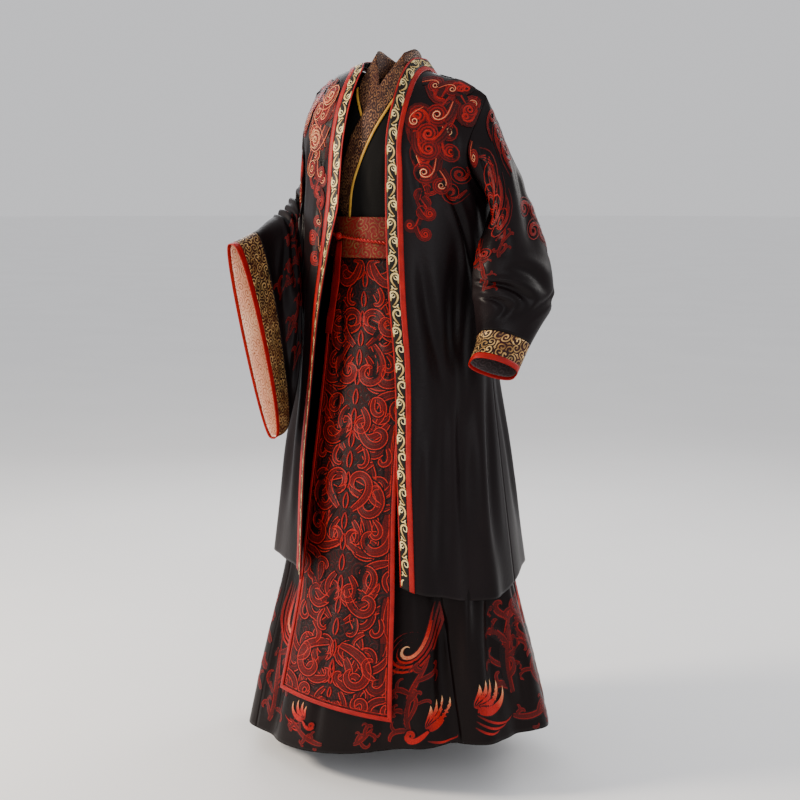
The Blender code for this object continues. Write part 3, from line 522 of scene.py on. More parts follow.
# Scrolls as shares of their size. Lines as in echoes; pale lines come in above a richness.
openScroll = {
    "length": 2.5, "turn": 7.6, "width": 0.19, "power": 1.1, "sway": -0.9, "tip": 0.5,
    "tones": (red, bright, red),
    "lines": ((0, 1.4, (black, black), 0), (0, 1, None, 1), (0, 0.64, (black, 0.1), 2),
              (0, 0.22, (red, bright), 3), (-0.27, 0.3, (dark, red, bright), 2)),
    "pale": (),
}
fullScroll = {
    "length": 2.8, "turn": 9.0, "width": 0.13, "power": 1.5, "sway": -1.0, "tip": 0.7,
    "tones": (red, bright, bright),
    "lines": ((0, 5.6, (black, black), 0), (-0.10, 4.2, (0.12, 0.26), 1), (0, 1, None, 2),
              (-0.20, 0.8, (dark, red, bright), 2), (-0.36, 0.7, (dark, red, red), 2)),
    "pale": ((0.55, (0, 0.36, (pink, cream, cream), 7)), (0.8, (-0.36, 0.34, (pink, cream), 7))),
}


def cloud(x, y, heading, size, hand, rich, level):
    # A tight scroll on a wide dark red ground, edged with pale thread where it is rich; open below zero
    kind = openScroll if rich < 0 else fullScroll
    core = stroke(x, y, heading, kind["length"] * size, hand * kind["turn"], kind["width"] * size,
                  kind["tones"], kind["power"], hand * kind["sway"], kind["tip"], level)
    pale = tuple(line for least, line in kind["pale"] if rich > least)
    return echoes(core, kind["lines"] + pale, hand * size)


bankShape = {"across": 0.86, "along": 0.74, "stray": 0.1, "swing": 0.9, "sizes": (0.8, 1.25), "layers": 5}


def bank(rows, seed):
    # Lanes of clouds. Columns: start and end (across, down), half width at each, size of a cloud, richness
    rng = np.random.default_rng(seed)
    stray, swing = bankShape["stray"], bankShape["swing"]
    out = []
    number = 0
    for a0, b0, a1, b1, half0, half1, size, rich in rows:
        heading, run = math.atan2(b1 - b0, a1 - a0), math.hypot(a1 - a0, b1 - b0)
        along = 0.0
        while along < run:
            t = along / run
            half = half0 + (half1 - half0) * t
            spots = max(1, int(round(2 * half / (bankShape["across"] * size))))
            for i in range(spots):
                off = ((i + 0.5) / spots * 2 - 1) * half + rng.uniform(-stray, stray) * size
                x = a0 + (a1 - a0) * t - math.sin(heading) * off
                y = b0 + (b1 - b0) * t + math.cos(heading) * off
                lead = heading + rng.uniform(-swing, swing) + (math.pi if i % 2 else 0)
                grown = size * rng.uniform(*bankShape["sizes"])
                paleness = rich if rich < 0 else rng.uniform(0, 1) * 0.5 + rich * 0.6
                out += cloud(x, y, lead, grown, 1 if (number + i) % 2 else -1, paleness,
                             4 * (number % bankShape["layers"]))
                number += 1
            along += size * bankShape["along"]
    return out


def ribbons(rows):
    # Broad scrolls in outline. Columns: across, down, heading in degrees, length, turn, width
    out = []
    for number, (a, b, heading, length, turn, width) in enumerate(rows):
        core = stroke(a, b, math.radians(heading), length, turn, width, (red, bright, red), 1.4,
                      -np.sign(turn) * 0.9, 0.45, 4 * (number % 4))
        out += echoes(core, ((0, 1, None, 0), (0, 0.66, (black, 0.1), 1), (0, 0.26, (red, bright), 2)))
    return out


coralShape = {
    "lean": (0.7, 1.2), "hook": (2.2, 4.4), "backHooks": 0.6, "lengths": (0.55, 1.25), "widths": (0.6, 1.0),
    "lines": ((0, 1.5, (black, black), 0), (0, 1.0, (0.40, 0.50), 1), (0, 0.66, (0.20, 0.30), 2)),
}


def coral(rows, seed):
    # A swaying stem with hooked, forked tongues to both sides, dark within a brighter edge.
    # Columns: start and end (across, down), bow, tongues, length, width
    rng = np.random.default_rng(seed)
    out = []
    for a0, b0, a1, b1, bow, count, length, width in rows:
        heading, run = math.atan2(b1 - b0, a1 - a0), math.hypot(a1 - a0, b1 - b0)
        stem = stroke(a0, b0, heading - bow, run * 1.05, 2 * bow, width * 1.1, (red, bright, red), 0.0,
                      0.9 * np.sign(bow), 0.5)
        parts = [stem]
        for i in range(count):
            k = int((i + 0.5) / count * (strokeStations - 2))
            hand = 1 if i % 2 else -1
            lean = heading - bow + 2 * bow * k / strokeStations + hand * rng.uniform(*coralShape["lean"])
            hook = rng.uniform(*coralShape["hook"])
            hook *= -hand if rng.uniform() < coralShape["backHooks"] else hand
            reach = length * rng.uniform(*coralShape["lengths"])
            tongue = stroke(*stem[0][k], lean, reach, hook, width * rng.uniform(*coralShape["widths"]),
                            (red, bright, red), 1.6, -0.3 * hook, 0.42)
            fork = stroke(*tongue[0][7 + i % 4], lean - np.sign(hook) * 0.8, reach * 0.5, -hook * 0.8,
                          width * 0.5, (red, bright), 1.2, 0.0, 0.5)
            parts += [tongue, fork]
        for line in coralShape["lines"]:
            for part in parts:
                out += echoes(part, (line,))
    return out


def wings(rows):
    # A fan of tongues, red at the root and pale at the tips, over a scroll, with three quills behind.
    # Columns: across, down, heading in degrees, size, hand, tongues
    out = []
    for a, b, heading, size, hand, count in rows:
        lead = math.radians(heading)
        back = np.array([math.cos(lead), math.sin(lead)]) * size
        for i, t in enumerate(np.linspace(0, 1, count)):
            path, broad, tone, level = stroke(
                a, b, lead + hand * (0.1 + 1.6 * t), size * (0.62 + 0.58 * t), -hand * (0.4 + 1.6 * t),
                size * 0.23, (red, bright, bright, pink, cream), 0.5, 0.0, 0.6, 3 + 2 * i)
            taper = 1.1 - np.linspace(0, 1, len(path)) ** 1.6
            out += onGround((path, broad * taper, tone, level), 1.3)
        root = stroke(*((a, b) - back * 0.05), lead + math.pi + hand * 0.9, size * 1.15, hand * 7.5,
                      size * 0.15, (bright, red), 1.4, -hand, 0.5, 14)
        out += onGround(root, 1.5)
        for i in range(3):
            out.append(stroke(*((a, b) - back * (0.15 + 0.16 * i)), lead + hand * 1.9,
                              size * (1.25 - 0.25 * i), -hand * 1.1, size * 0.06, (dark, bright, red),
                              1.0, 0.0, 0.3, 1))
    return out


def plumes(rows):
    # Parallel lines that end in one scroll. Columns: across, down, heading, length, turn, width, lines
    out = []
    for a, b, heading, length, turn, width, lines in rows:
        core = stroke(a, b, math.radians(heading), length, turn, width, (dark, bright, pink, cream),
                      3.0, 0.0, 0.3, 2)
        out += onGround(core, 1.7, (black, dark))
        for i in range(1, lines):  # each dies out before the scroll
            away = -np.sign(turn) * i * width * 1.05
            path, broad, tone, level = echoes(core, ((away, 0.66, (dark, bright, red), 1),))[0]
            fading = np.clip(2.6 - 3.8 * np.linspace(0, 1, len(path)) + 0.3 * i, 0.03, 1)
            out.append((path, broad * fading, tone, level))
    return out


nestGround = 0.0060
nestLines = (  # share of the width to one side, width, tone, narrowest band that has it
    (-0.43, 0.0019, 0.62, 0.0), (0.43, 0.0019, 0.62, 0.0), (-0.08, 0.0012, 0.46, 0.011))


def nest(x, y, heading, length, turn, wide, level, tone):
    # A broad band on a black ground, with a bright line along both edges and one inside
    core = stroke(x, y, math.radians(heading), length, turn, wide, (tone, tone + 0.03, tone),
                  1.1, 0.0, 0.6, level)
    path, broad, tones, level = core
    out = onGround(core, 1.0 + nestGround / wide)
    for share, width, shine, least in nestLines:
        if wide > least:
            out.append((path + leftOf(path) * (broad * share)[:, None], np.minimum(width, broad * 0.4),
                        0 * tones + shine, level + 2))
    return out


def embroider(name, cloth, strokes, look, margin=0.004, start=0.0, lift=0.00035, rise=0.00008, crown=0.00012):
    # Strips of stitches, three points across, lying on the sheet; start keeps them off what covers its
    # front edge. Each level lies one rise higher, and a strip's middle stands up by the crown.
    kept = []
    top, bottom = cloth.down[0] + margin, cloth.down[-1] - margin
    for path, broad, tone, level in strokes:
        low, high = start + margin, np.interp(path[:, 1], cloth.down, cloth.across[:, -1]) - margin
        inside = (path[:, 0] > low) & (path[:, 0] < high) & (path[:, 1] > top) & (path[:, 1] < bottom)
        if inside.mean() > 0.8:
            held = np.stack([np.clip(path[:, 0], low, high), np.clip(path[:, 1], top, bottom)], 1)
            kept.append((held, broad, tone, level))
    path, broad, tone, level = (np.array(column, float) for column in zip(*kept))
    shares = np.array([-0.5, 0.0, 0.5])[None, :, None]
    widths = broad[:, None] * shares
    lines = path[:, None] + leftOf(path)[:, None] * widths[..., None]
    out = lift + rise * level[:, None, None] + crown * (shares == 0) + 0 * widths
    across, down = lines[..., 0].ravel(), lines[..., 1].ravel()
    places = cloth.at(across, down, out.ravel())
    above = cloth.at(across, down, out.ravel() + 1.0) - places
    length = np.cumsum(steps(path), 1)[:, None] + np.arange(len(kept))[:, None, None] * 0.37 + 0 * shares
    stations = path.shape[1]
    bm = bmesh.new()
    layGrid(bm, places.reshape(-1, stations, 3))
    gaps = [f for f in bm.faces if min(v.index for v in f.verts) // stations % 3 == 2]
    bmesh.ops.delete(bm, geom=gaps, context="FACES")
    bm.normal_update()
    turned = [f for f in bm.faces if f.normal.dot(Vector(above[f.verts[0].index])) < 0]
    bmesh.ops.reverse_faces(bm, faces=turned)
    layMeasures(bm, np.stack([widths.ravel(), length.ravel()], 1))
    piece = addPiece(name, bm, look)
    tones = piece.data.attributes.new("tone", "FLOAT", "POINT")
    tones.data.foreach_set("value", np.repeat(tone[:, None], 3, 1).ravel().astype(np.float32))
    return piece


# The outer robe. Rings: height, half width, depth in front, depth behind. Hem: turn, height. The opening is
# the armhole's half width in degrees, and the rounding the shoulder's, at the neck and at its tip.
robeShape = {
    "rings": (
        (0.03, 0.2, 0.15, 0.108), (-0.1, 0.205, 0.157, 0.118), (-0.2, 0.206, 0.168, 0.127),
        (-0.27, 0.207, 0.176, 0.132), (-0.46, 0.208, 0.202, 0.143), (-0.6, 0.214, 0.216, 0.158),
        (-0.8, 0.238, 0.238, 0.19), (-1.1, 0.278, 0.268, 0.246),
    ),
    "hem": (
        (-180, -1.045), (-90, -1.025), (-45, -1.015), (-15, -1.014), (0, -1.03), (26, -1.05), (52, -1.07),
        (78, -1.066), (112, -1.04), (180, -1.045),
    ),
    "folds": (
        (38, 6, -0.55, 0.012), (60, 5, -0.22, -0.01), (72, 5, -0.6, 0.01), (-58, 7, -0.55, 0.01),
        (-76, 5, -0.5, -0.008), (120, 9, -0.45, 0.012), (150, 8, -0.4, -0.012), (-120, 9, -0.45, 0.012),
        (-148, 8, -0.42, -0.012),
    ),
    "armhole": -0.27, "opening": 26.0, "rounding": (0.2, 0.11), "wall": 0.0018, "upper": 0.27,
    "lower": 0.78, "upperRows": 45, "lowerRows": 145, "crowding": 1.5, "underCollar": 0.0342,
    "columns": (9, 46, 58),
}
leftCut = dict(
    robeShape, neck=(0.05, -0.012, 0.022), tip=(0.196, 0.0, -0.056), collar=0.2,
    shoulder=(
        (0, 0), (0.08, -0.0064), (0.16, -0.0127), (0.38, -0.007), (0.68, 0.003), (0.9, 0.003), (1, 0),
    ),
    edge=(
        (0.03, 0.05), (0.0, 0.052), (-0.05, 0.053), (-0.13, 0.051), (-0.19, 0.054), (-0.27, 0.058),
        (-0.46, 0.075), (-0.58, 0.088), (-0.8, 0.102), (-0.9, 0.11), (-1.08, 0.124),
    ),
    edgeTurn=((-0.4, 0.0), (-0.75, -0.01), (-1.1, -0.012)),
    neckline=((0.0, 0.076, -0.017), (0.035, 0.07, -0.018), (0.06, 0.045, -0.012)),
)
rightCut = dict(
    robeShape, neck=(0.068, -0.012, 0.018), tip=(0.202, 0.0, -0.038), collar=0.27,
    shoulder=((0, 0), (0.11, 0.003), (0.3, 0.005), (0.5, 0.008), (0.85, 0.005), (1, 0)),
    edge=(
        (0.018, 0.068), (0.003, 0.051), (-0.02, 0.046), (-0.05, 0.045), (-0.14, 0.046), (-0.24, 0.048),
        (-0.3, 0.051), (-0.4, 0.06), (-0.53, 0.076), (-0.67, 0.086), (-0.8, 0.093), (-1.05, 0.087),
    ),
    edgeTurn=((-0.28, 0.0), (-0.36, 0.016), (-0.5, 0.022), (-1.1, 0.022)),
    neckline=((0.0, 0.076, -0.017), (0.035, 0.072, -0.014), (0.072, 0.051, -0.007)),
)
robe = {1: leftCut, -1: rightCut}
sides = {1: "left", -1: "right"}
seam = {"gap": 0.00018, "neckShare": 0.3, "turnWidth": 0.042, "armholePower": 0.8}


def shoulder(cut, share):
    neck, tip = np.array(cut["neck"]), np.array(cut["tip"])
    line = neck + (tip - neck) * share[..., None]
    line[..., 2] += curve(cut["shoulder"], share)
    return line


def panel(side, back, u, v, cut):
    # u: front edge or back centre to the side; v: shoulder past the armhole (1) to the hem (2)
    tip, rings, under = cut["tip"], cut["rings"], cut["armhole"]
    share = u
    if back:
        share = (u - seam["neckShare"]) / (1 - seam["neckShare"])
        share = np.clip(cut["collar"] + (1 - cut["collar"]) * share, 0, 1)
    top = shoulder(cut, share)
    if back:
        line = np.array(cut["neckline"] + (tuple(shoulder(cut, np.array([cut["collar"]]))[0]),))
        near = through(line, np.linspace(0, seam["neckShare"], len(line)), u)
        top = np.where((u < seam["neckShare"])[..., None], near, top)
    turn = 180 - 90 * u if back else 90 * u
    hem = curve(cut["hem"], side * turn)
    z = np.where(v < 1, top[..., 2] + (under - top[..., 2]) * v, under + (hem - under) * (v - 1))
    height = np.clip((z - under) / (tip[2] - under), 0, 1)
    opening = cut["opening"] * np.sin(np.pi * height) ** seam["armholePower"]
    edge = curve(cut["edge"], z)
    if back:
        turn = 180 + (opening - 90) * u
    else:
        start = np.degrees(np.arcsin(edge / curve(rings, z)))
        turn = start + (90 - opening - start) * u
    low = ring(rings, turn, z, folds(cut["folds"], side * turn, z))
    fall = top[..., 2] - z
    down = fall / (cut["rounding"][0] + (cut["rounding"][1] - cut["rounding"][0]) * share)
    slide = ease(fall / cut["rounding"][0])
    x = top[..., 0] + (low[..., 0] - top[..., 0]) * slide
    if not back:
        x += (edge - curve(cut["edge"], top[..., 2])) * (1 - slide) * np.clip(1 - u, 0, 1) ** 2
    y = top[..., 1] + (low[..., 1] - top[..., 1]) * np.sqrt(1 - (1 - np.clip(down, 0, 1)) ** 2)
    return np.stack([side * (x + seam["gap"]), y + (seam["gap"] if back else -seam["gap"]), z], -1)


def frontWidth(points, v):  # from the front edge to the side, judged by the first bit of the way
    bit = 0.05
    return np.linalg.norm(points(bit + 0 * v) - points(0 * v), axis=-1) / bit


def robeFront(side, reach, v, rest=None):
    # reach is the distance from the front edge; rest, where given, the share of what is left
    cut = robe[side]
    width = frontWidth(lambda u: panel(side, False, u, v, cut), v)
    u = reach / width
    if rest is not None:
        u = u + (1 - u) * rest
    points = panel(side, False, u, v, cut)
    near = np.clip(1 - u * width / seam["turnWidth"], 0, None) ** 2
    points[..., 1] -= near * curve(cut["edgeTurn"], points[..., 2])
    return points


def rowsDown(cut):
    # Rows from the shoulder past the armhole (1) to the hem (2), and how far down the cloth they lie
    upper = np.linspace(0, 1, cut["upperRows"])[:-1] ** cut["crowding"]
    rows = np.concatenate([upper, 1 + np.linspace(0, 1, cut["lowerRows"])])
    return rows, np.where(rows < 1, cut["upper"] * rows, cut["upper"] + cut["lower"] * (rows - 1))


bodyRows, bodyDown = rowsDown(robeShape)

# Main creases: across and down of one end, of the other end, half width, depth, bow
robeCreases = {
    "front_left": (
        (0.095, 0.2, 0.19, 0.45, 0.007, 0.0062, -0.02), (0.15, 0.15, 0.225, 0.36, 0.01, 0.005, -0.012),
        (0.065, 0.33, 0.12, 0.72, 0.016, 0.006, 0.01), (0.185, 0.42, 0.165, 0.92, 0.018, 0.007, 0.01),
        (0.1, 0.62, 0.09, 1.04, 0.015, 0.006, -0.01), (0.225, 0.55, 0.235, 1.02, 0.016, 0.006, 0.0),
        (0.05, 0.1, 0.09, 0.3, 0.012, 0.004, 0.01), (0.055, 0.7, 0.05, 1.03, 0.01, 0.004, 0.005),
        (0.14, 0.52, 0.135, 0.8, 0.01, 0.0035, -0.01), (0.13, 0.05, 0.16, 0.2, 0.01, 0.0035, 0.01),
    ),
    "front_right": (
        (0.06, 0.2, 0.08, 0.6, 0.014, 0.006, 0.01), (0.11, 0.12, 0.18, 0.34, 0.012, 0.006, -0.01),
        (0.12, 0.42, 0.13, 0.98, 0.018, 0.007, 0.01), (0.19, 0.4, 0.2, 0.95, 0.016, 0.006, -0.01),
        (0.055, 0.62, 0.07, 1.0, 0.012, 0.005, 0.005), (0.04, 0.08, 0.075, 0.24, 0.01, 0.004, 0.01),
    ),
    "back_left": (
        (0.06, 0.16, 0.2, 0.36, 0.018, 0.005, 0.02), (0.12, 0.3, 0.1, 0.95, 0.022, 0.007, 0.01),
        (0.2, 0.42, 0.23, 1.0, 0.02, 0.007, -0.01), (0.04, 0.45, 0.05, 1.02, 0.018, 0.006, 0.01),
        (0.28, 0.55, 0.3, 1.02, 0.018, 0.006, 0.01),
    ),
    "back_right": (
        (0.07, 0.14, 0.21, 0.4, 0.018, 0.0055, 0.02), (0.1, 0.36, 0.12, 0.98, 0.02, 0.007, -0.01),
        (0.18, 0.36, 0.19, 0.9, 0.022, 0.007, 0.01), (0.25, 0.5, 0.27, 1.02, 0.018, 0.006, -0.01),
        (0.045, 0.6, 0.04, 1.02, 0.016, 0.005, 0.01),
    ),
}


def bodyFade(cloth, far):
    # Creases die out towards the shoulder seam, the side seam and the front edge
    a, wide = cloth.across, cloth.across[:, -1:]
    return ease((wide - a) / 0.03) * ease(a / far) * ease((cloth.down[:, None] - 0.01) / 0.05)


def frontGrid(side):
    under, (nearColumns, farColumns, _) = robeShape["underCollar"], robeShape["columns"]
    near, v1 = grid(np.linspace(0, under, nearColumns), bodyRows)
    far, v2 = grid(np.linspace(0, 1, farColumns + 1)[1:], bodyRows)
    return np.concatenate([robeFront(side, near, v1), robeFront(side, under + 0 * far, v2, far)], 1)


def backGrid(side):
    return panel(side, True, *grid(np.linspace(0, 1, robeShape["columns"][2]), bodyRows), robe[side])


figures = {
    "front_left": bank((
        (0.092, 0.022, 0.088, 0.205, 0.04, 0.034, 0.034, 0.4),
        (0.15, 0.018, 0.176, 0.115, 0.026, 0.02, 0.03, 0.4),
        (0.074, 0.225, 0.062, 0.325, 0.014, 0.006, 0.024, 0.3),
        (0.045, 0.024, 0.16, 0.03, 0.006, 0.006, 0.024, 0.3),
    ), 3)
        + bank(((0.176, 0.15, 0.168, 0.262, 0.008, 0.006, 0.04, -1),), 4)
        + ribbons((
            (0.058, 0.16, 75, 0.11, -6.0, 0.0085), (0.118, 0.215, 120, 0.09, 5.8, 0.008),
            (0.13, 0.06, 100, 0.09, 5.5, 0.0085),
        )),
    # The right front's clouds are richer than the left's, with more pink and cream edging: partly the
    # needlework's own pale thread, partly a painted highlight for the satin's sheen on the right shoulder
    "front_right": bank((
        (0.078, 0.022, 0.08, 0.175, 0.04, 0.032, 0.032, 1.0),
        (0.145, 0.02, 0.172, 0.115, 0.028, 0.02, 0.03, 0.8),
        (0.066, 0.185, 0.06, 0.395, 0.018, 0.01, 0.026, 0.4),
        (0.045, 0.024, 0.15, 0.028, 0.006, 0.006, 0.024, 0.6),
    ), 5)
        + ribbons(((0.11, 0.19, 100, 0.1, 6.0, 0.0085),)),
    "back_left": bank((
        (0.04, 0.075, 0.22, 0.06, 0.034, 0.026, 0.034, 0.4),
        (0.08, 0.13, 0.07, 0.32, 0.036, 0.012, 0.034, 0.4),
    ), 7)
        + ribbons(((0.15, 0.15, 60, 0.13, -6.5, 0.009), (0.17, 0.21, 120, 0.12, 6.0, 0.008))),
    "back_right": bank((
        (0.04, 0.07, 0.215, 0.06, 0.034, 0.026, 0.034, 0.4),
        (0.085, 0.125, 0.065, 0.31, 0.036, 0.012, 0.034, 0.4),
    ), 9)
        + ribbons(((0.145, 0.145, 70, 0.13, -6.5, 0.009), (0.165, 0.22, 110, 0.115, 6.0, 0.008))),
}

for side in (1, -1):
    for part, points, fade, start in (("front", frontGrid(side), 0.06, 0.036),
                                      ("back", backGrid(side), 0.03, 0.0)):
        tag = f"{part}_{sides[side]}"
        cloth = Cloth(points, bodyDown)
        cloth.crease(robeCreases[tag], bodyFade(cloth, fade))
        work = embroider(f"needlework_{tag}", cloth, figures[tag], redWork, 0.006, start)
        sew(f"robe_{tag}", cloth, "black_satin", "hung", robeShape["wall"], extras=(work,))
print("robe body sewn")

# Sleeves. Rows: along (0 armhole, 1 mouth), upper line x y z, lower line x y z, thickness of the near and
# the far layer, heading and pitch of the near layer. Where the cuff starts and the facing's reach are
# shares of the length.
sleeves = {
    1: {
        "rows": (
            (0.0, 0.196, 0.0, -0.056, 0.207, 0.0, -0.27, 0.06, 0.06, 0, 0),
            (0.16, 0.214, 0.015, -0.104, 0.225, -0.022, -0.286, 0.06, 0.042, 14, 0),
            (0.3, 0.238, 0.022, -0.17, 0.228, -0.052, -0.312, 0.062, 0.032, 34, 0),
            (0.45, 0.264, 0.03, -0.253, 0.226, -0.085, -0.35, 0.062, 0.026, 50, 0),
            (0.6, 0.297, 0.035, -0.344, 0.226, -0.11, -0.395, 0.06, 0.026, 58, 2),
            (0.74, 0.32, 0.028, -0.425, 0.231, -0.122, -0.44, 0.058, 0.026, 60, 6),
            (0.83, 0.328, 0.008, -0.48, 0.236, -0.124, -0.478, 0.054, 0.028, 56, 12),
            (0.9, 0.32, -0.064, -0.556, 0.24, -0.122, -0.523, 0.042, 0.034, 47, 26),
            (1.0, 0.316, -0.112, -0.605, 0.24, -0.162, -0.574, 0.04, 0.036, 44, 30),
        ),
        "cuff": 0.9, "facing": 0.15,
    },
    -1: {
        "rows": (
            (0.0, -0.202, 0.0, -0.038, -0.207, 0.0, -0.27, 0.06, 0.06, 0, 0),
            (0.14, -0.215, 0.012, -0.09, -0.22, -0.012, -0.325, 0.058, 0.045, 10, 0),
            (0.28, -0.228, 0.016, -0.15, -0.23, -0.032, -0.4, 0.054, 0.034, 25, 0),
            (0.4, -0.244, 0.016, -0.205, -0.228, -0.066, -0.475, 0.064, 0.028, 40, 0),
            (0.52, -0.262, 0.0, -0.258, -0.218, -0.102, -0.55, 0.07, 0.024, 55, 0),
            (0.62, -0.268, -0.035, -0.286, -0.206, -0.132, -0.61, 0.07, 0.02, 65, 0),
            (0.74, -0.268, -0.09, -0.306, -0.186, -0.164, -0.675, 0.062, 0.016, 74, 0),
            (0.84, -0.262, -0.15, -0.328, -0.172, -0.19, -0.732, 0.034, 0.017, 78, 0),
            (1.0, -0.26, -0.25, -0.352, -0.165, -0.25, -0.748, 0.036, 0.024, 78, 0),
        ),
        "cuff": 0.86, "facing": 0.26,
    },
}
sleeveShape = {
    "length": 0.55, "blend": 0.22, "gap": 0.0003, "underGap": 0.004, "edgeShare": 0.2, "loop": 0.62,
    "around": 120, "rows": 112, "cuffRows": {1: 20, -1: 26}, "edgeRows": 6, "facingRows": 34,
    "facingGap": 0.0007, "facingWall": 0.0012,
}
armholeRows = (
    (0, 0), (1, 0.02), (2, 0.06), (3, 0.12), (4, 0.2), (5, 0.31), (6, 0.44), (7, 0.58), (8, 0.72),
    (9, 0.86), (10, 1),
)


def sleeveGrid(side, along):
    phi = np.linspace(0, 2 * np.pi, sleeveShape["around"] + 1)
    step = np.where(phi <= np.pi, phi, 2 * np.pi - phi) * 10 / np.pi
    v = np.clip(curve(armholeRows, step), 0, 1)
    one = 1 + 0 * v
    front, back = panel(side, False, one, v, robe[side]), panel(side, True, one, v, robe[side])
    first = np.where((phi <= np.pi)[:, None], front, back)
    share = (1 - np.cos(phi)) / 2
    first[:, 0] += side * (sleeveShape["gap"] + sleeveShape["underGap"] * ease((share - 0.6) / 0.4))
    first[0] = first[-1] = (front[0] + back[0]) / 2
    lines = np.stack([curve(sleeves[side]["rows"], along, i) for i in range(1, 11)], -1)
    top, low, (near, far) = lines[:, :3], lines[:, 3:6], lines[:, 6:8].T
    heading, pitch = np.radians(lines[:, 8:].T)
    facing = np.stack([np.cos(pitch) * np.sin(heading), -np.cos(pitch) * np.cos(heading), np.sin(pitch)], -1)
    bulge = np.abs(np.sin(phi)) ** sleeveShape["loop"]
    thick = np.where(phi < np.pi, near[:, None], -far[:, None]) * bulge
    loop = top[:, None] + (low - top)[:, None] * share[None, :, None] + facing[:, None] * thick[..., None]
    hold = (1 - ease(along / sleeveShape["blend"]))[:, None, None]
    points = loop + (first - loop[0])[None] * hold
    points[:, -1] = points[:, 0]
    return points


# Across is measured round the sleeve from its upper line, down along it from the armhole
sleeveCreases = {
    1: (
        (0.05, 0.03, 0.16, 0.22, 0.012, 0.0038, 0.015), (0.1, 0.02, 0.24, 0.16, 0.01, 0.0045, 0.01),
        (0.02, 0.14, 0.1, 0.36, 0.017, 0.004, -0.02), (0.2, 0.14, 0.17, 0.34, 0.013, 0.004, 0.01),
        (0.25, 0.37, 0.085, 0.48, 0.008, 0.0085, 0.018), (0.235, 0.418, 0.12, 0.486, 0.006, 0.0065, 0.008),
        (0.175, 0.335, 0.055, 0.45, 0.012, 0.0045, 0.012), (0.03, 0.42, 0.1, 0.47, 0.008, 0.0045, 0.006),
        (0.3, 0.1, 0.36, 0.4, 0.014, 0.006, 0.01), (0.33, 0.38, 0.25, 0.46, 0.009, 0.005, 0.006),
        (-0.05, 0.205, 0.06, 0.25, 0.012, 0.005, 0.0), (-0.05, 0.335, 0.05, 0.36, 0.01, 0.0045, 0.0),
        (-0.04, 0.425, 0.06, 0.455, 0.007, 0.0055, 0.0), (0.42, 0.06, 0.4, 0.36, 0.015, 0.0055, -0.01),
        (0.46, 0.25, 0.4, 0.44, 0.012, 0.0055, 0.01),
    ),
    -1: (
        (0.04, 0.03, 0.16, 0.2, 0.011, 0.005, 0.015), (0.12, 0.03, 0.24, 0.22, 0.012, 0.0055, 0.015),
        (-0.06, 0.262, 0.09, 0.3, 0.008, 0.012, 0.005), (-0.06, 0.316, 0.105, 0.345, 0.007, 0.0105, 0.01),
        (-0.05, 0.358, 0.08, 0.386, 0.006, 0.006, 0.0), (0.02, 0.24, 0.16, 0.28, 0.01, 0.006, 0.02),
        (0.04, 0.36, 0.2, 0.4, 0.01, 0.006, 0.015), (0.1, 0.18, 0.3, 0.3, 0.013, 0.006, 0.03),
        (0.2, 0.36, 0.36, 0.44, 0.012, 0.005, 0.01), (0.06, 0.4, 0.22, 0.45, 0.01, 0.0045, 0.01),
        (0.55, 0.15, 0.66, 0.4, 0.014, 0.006, 0.02), (0.7, 0.1, 0.6, 0.3, 0.014, 0.006, 0.01),
    ),
}
sleeveFigures = {
    1: bank((
        (0.108, 0.045, 0.108, 0.215, 0.05, 0.05, 0.058, -1),
        (0.235, 0.225, 0.225, 0.3, 0.01, 0.01, 0.04, -1), (0.4, 0.06, 0.4, 0.22, 0.07, 0.06, 0.058, -1),
    ), 21)
        + coral((
            (0.225, 0.41, 0.205, 0.27, 0.3, 6, 0.036, 0.0085),
            (0.18, 0.31, 0.17, 0.24, -0.3, 4, 0.036, 0.0085), (0.38, 0.4, 0.39, 0.27, 0.3, 7, 0.04, 0.0085),
        ), 22)
        + bank((
            (0.045, 0.37, 0.06, 0.26, 0.004, 0.012, 0.028, -1),
            (0.09, 0.012, 0.15, 0.012, 0.01, 0.01, 0.028, 0.5),
        ), 25),
    -1: bank((
        (0.08, 0.045, 0.2, 0.06, 0.02, 0.024, 0.032, 0.45),
        (0.15, 0.09, 0.17, 0.16, 0.024, 0.014, 0.03, 0.4), (0.56, 0.06, 0.6, 0.18, 0.06, 0.05, 0.058, -1),
    ), 23)
        + coral((
            (0.17, 0.455, 0.095, 0.32, 0.3, 7, 0.052, 0.0125),
            (0.09, 0.41, 0.05, 0.33, -0.3, 5, 0.036, 0.0095),
            (0.255, 0.455, 0.215, 0.35, -0.3, 5, 0.042, 0.011),
            (0.33, 0.44, 0.3, 0.33, 0.3, 5, 0.042, 0.011), (0.6, 0.4, 0.58, 0.23, 0.3, 9, 0.052, 0.0115),
        ), 24)
        + bank(((0.26, 0.25, 0.27, 0.29, 0.01, 0.01, 0.04, -1),), 26),
}


def sleeveCloth(side, start, stop, rows, creased=False):
    along = np.linspace(start, stop, rows)
    points = sleeveGrid(side, along)
    cloth = Cloth(points, along * sleeveShape["length"], True, points.mean(1, keepdims=True) + 0 * points)
    if creased:  # creases die out at the armhole and at the cuff
        down, cuff = cloth.down[:, None], sleeves[side]["cuff"] * sleeveShape["length"]
        fade = ease((down - 0.01) / 0.04) * ease((cuff - down) / 0.03) + 0 * cloth.across
        cloth.crease(sleeveCreases[side], fade)
    return cloth


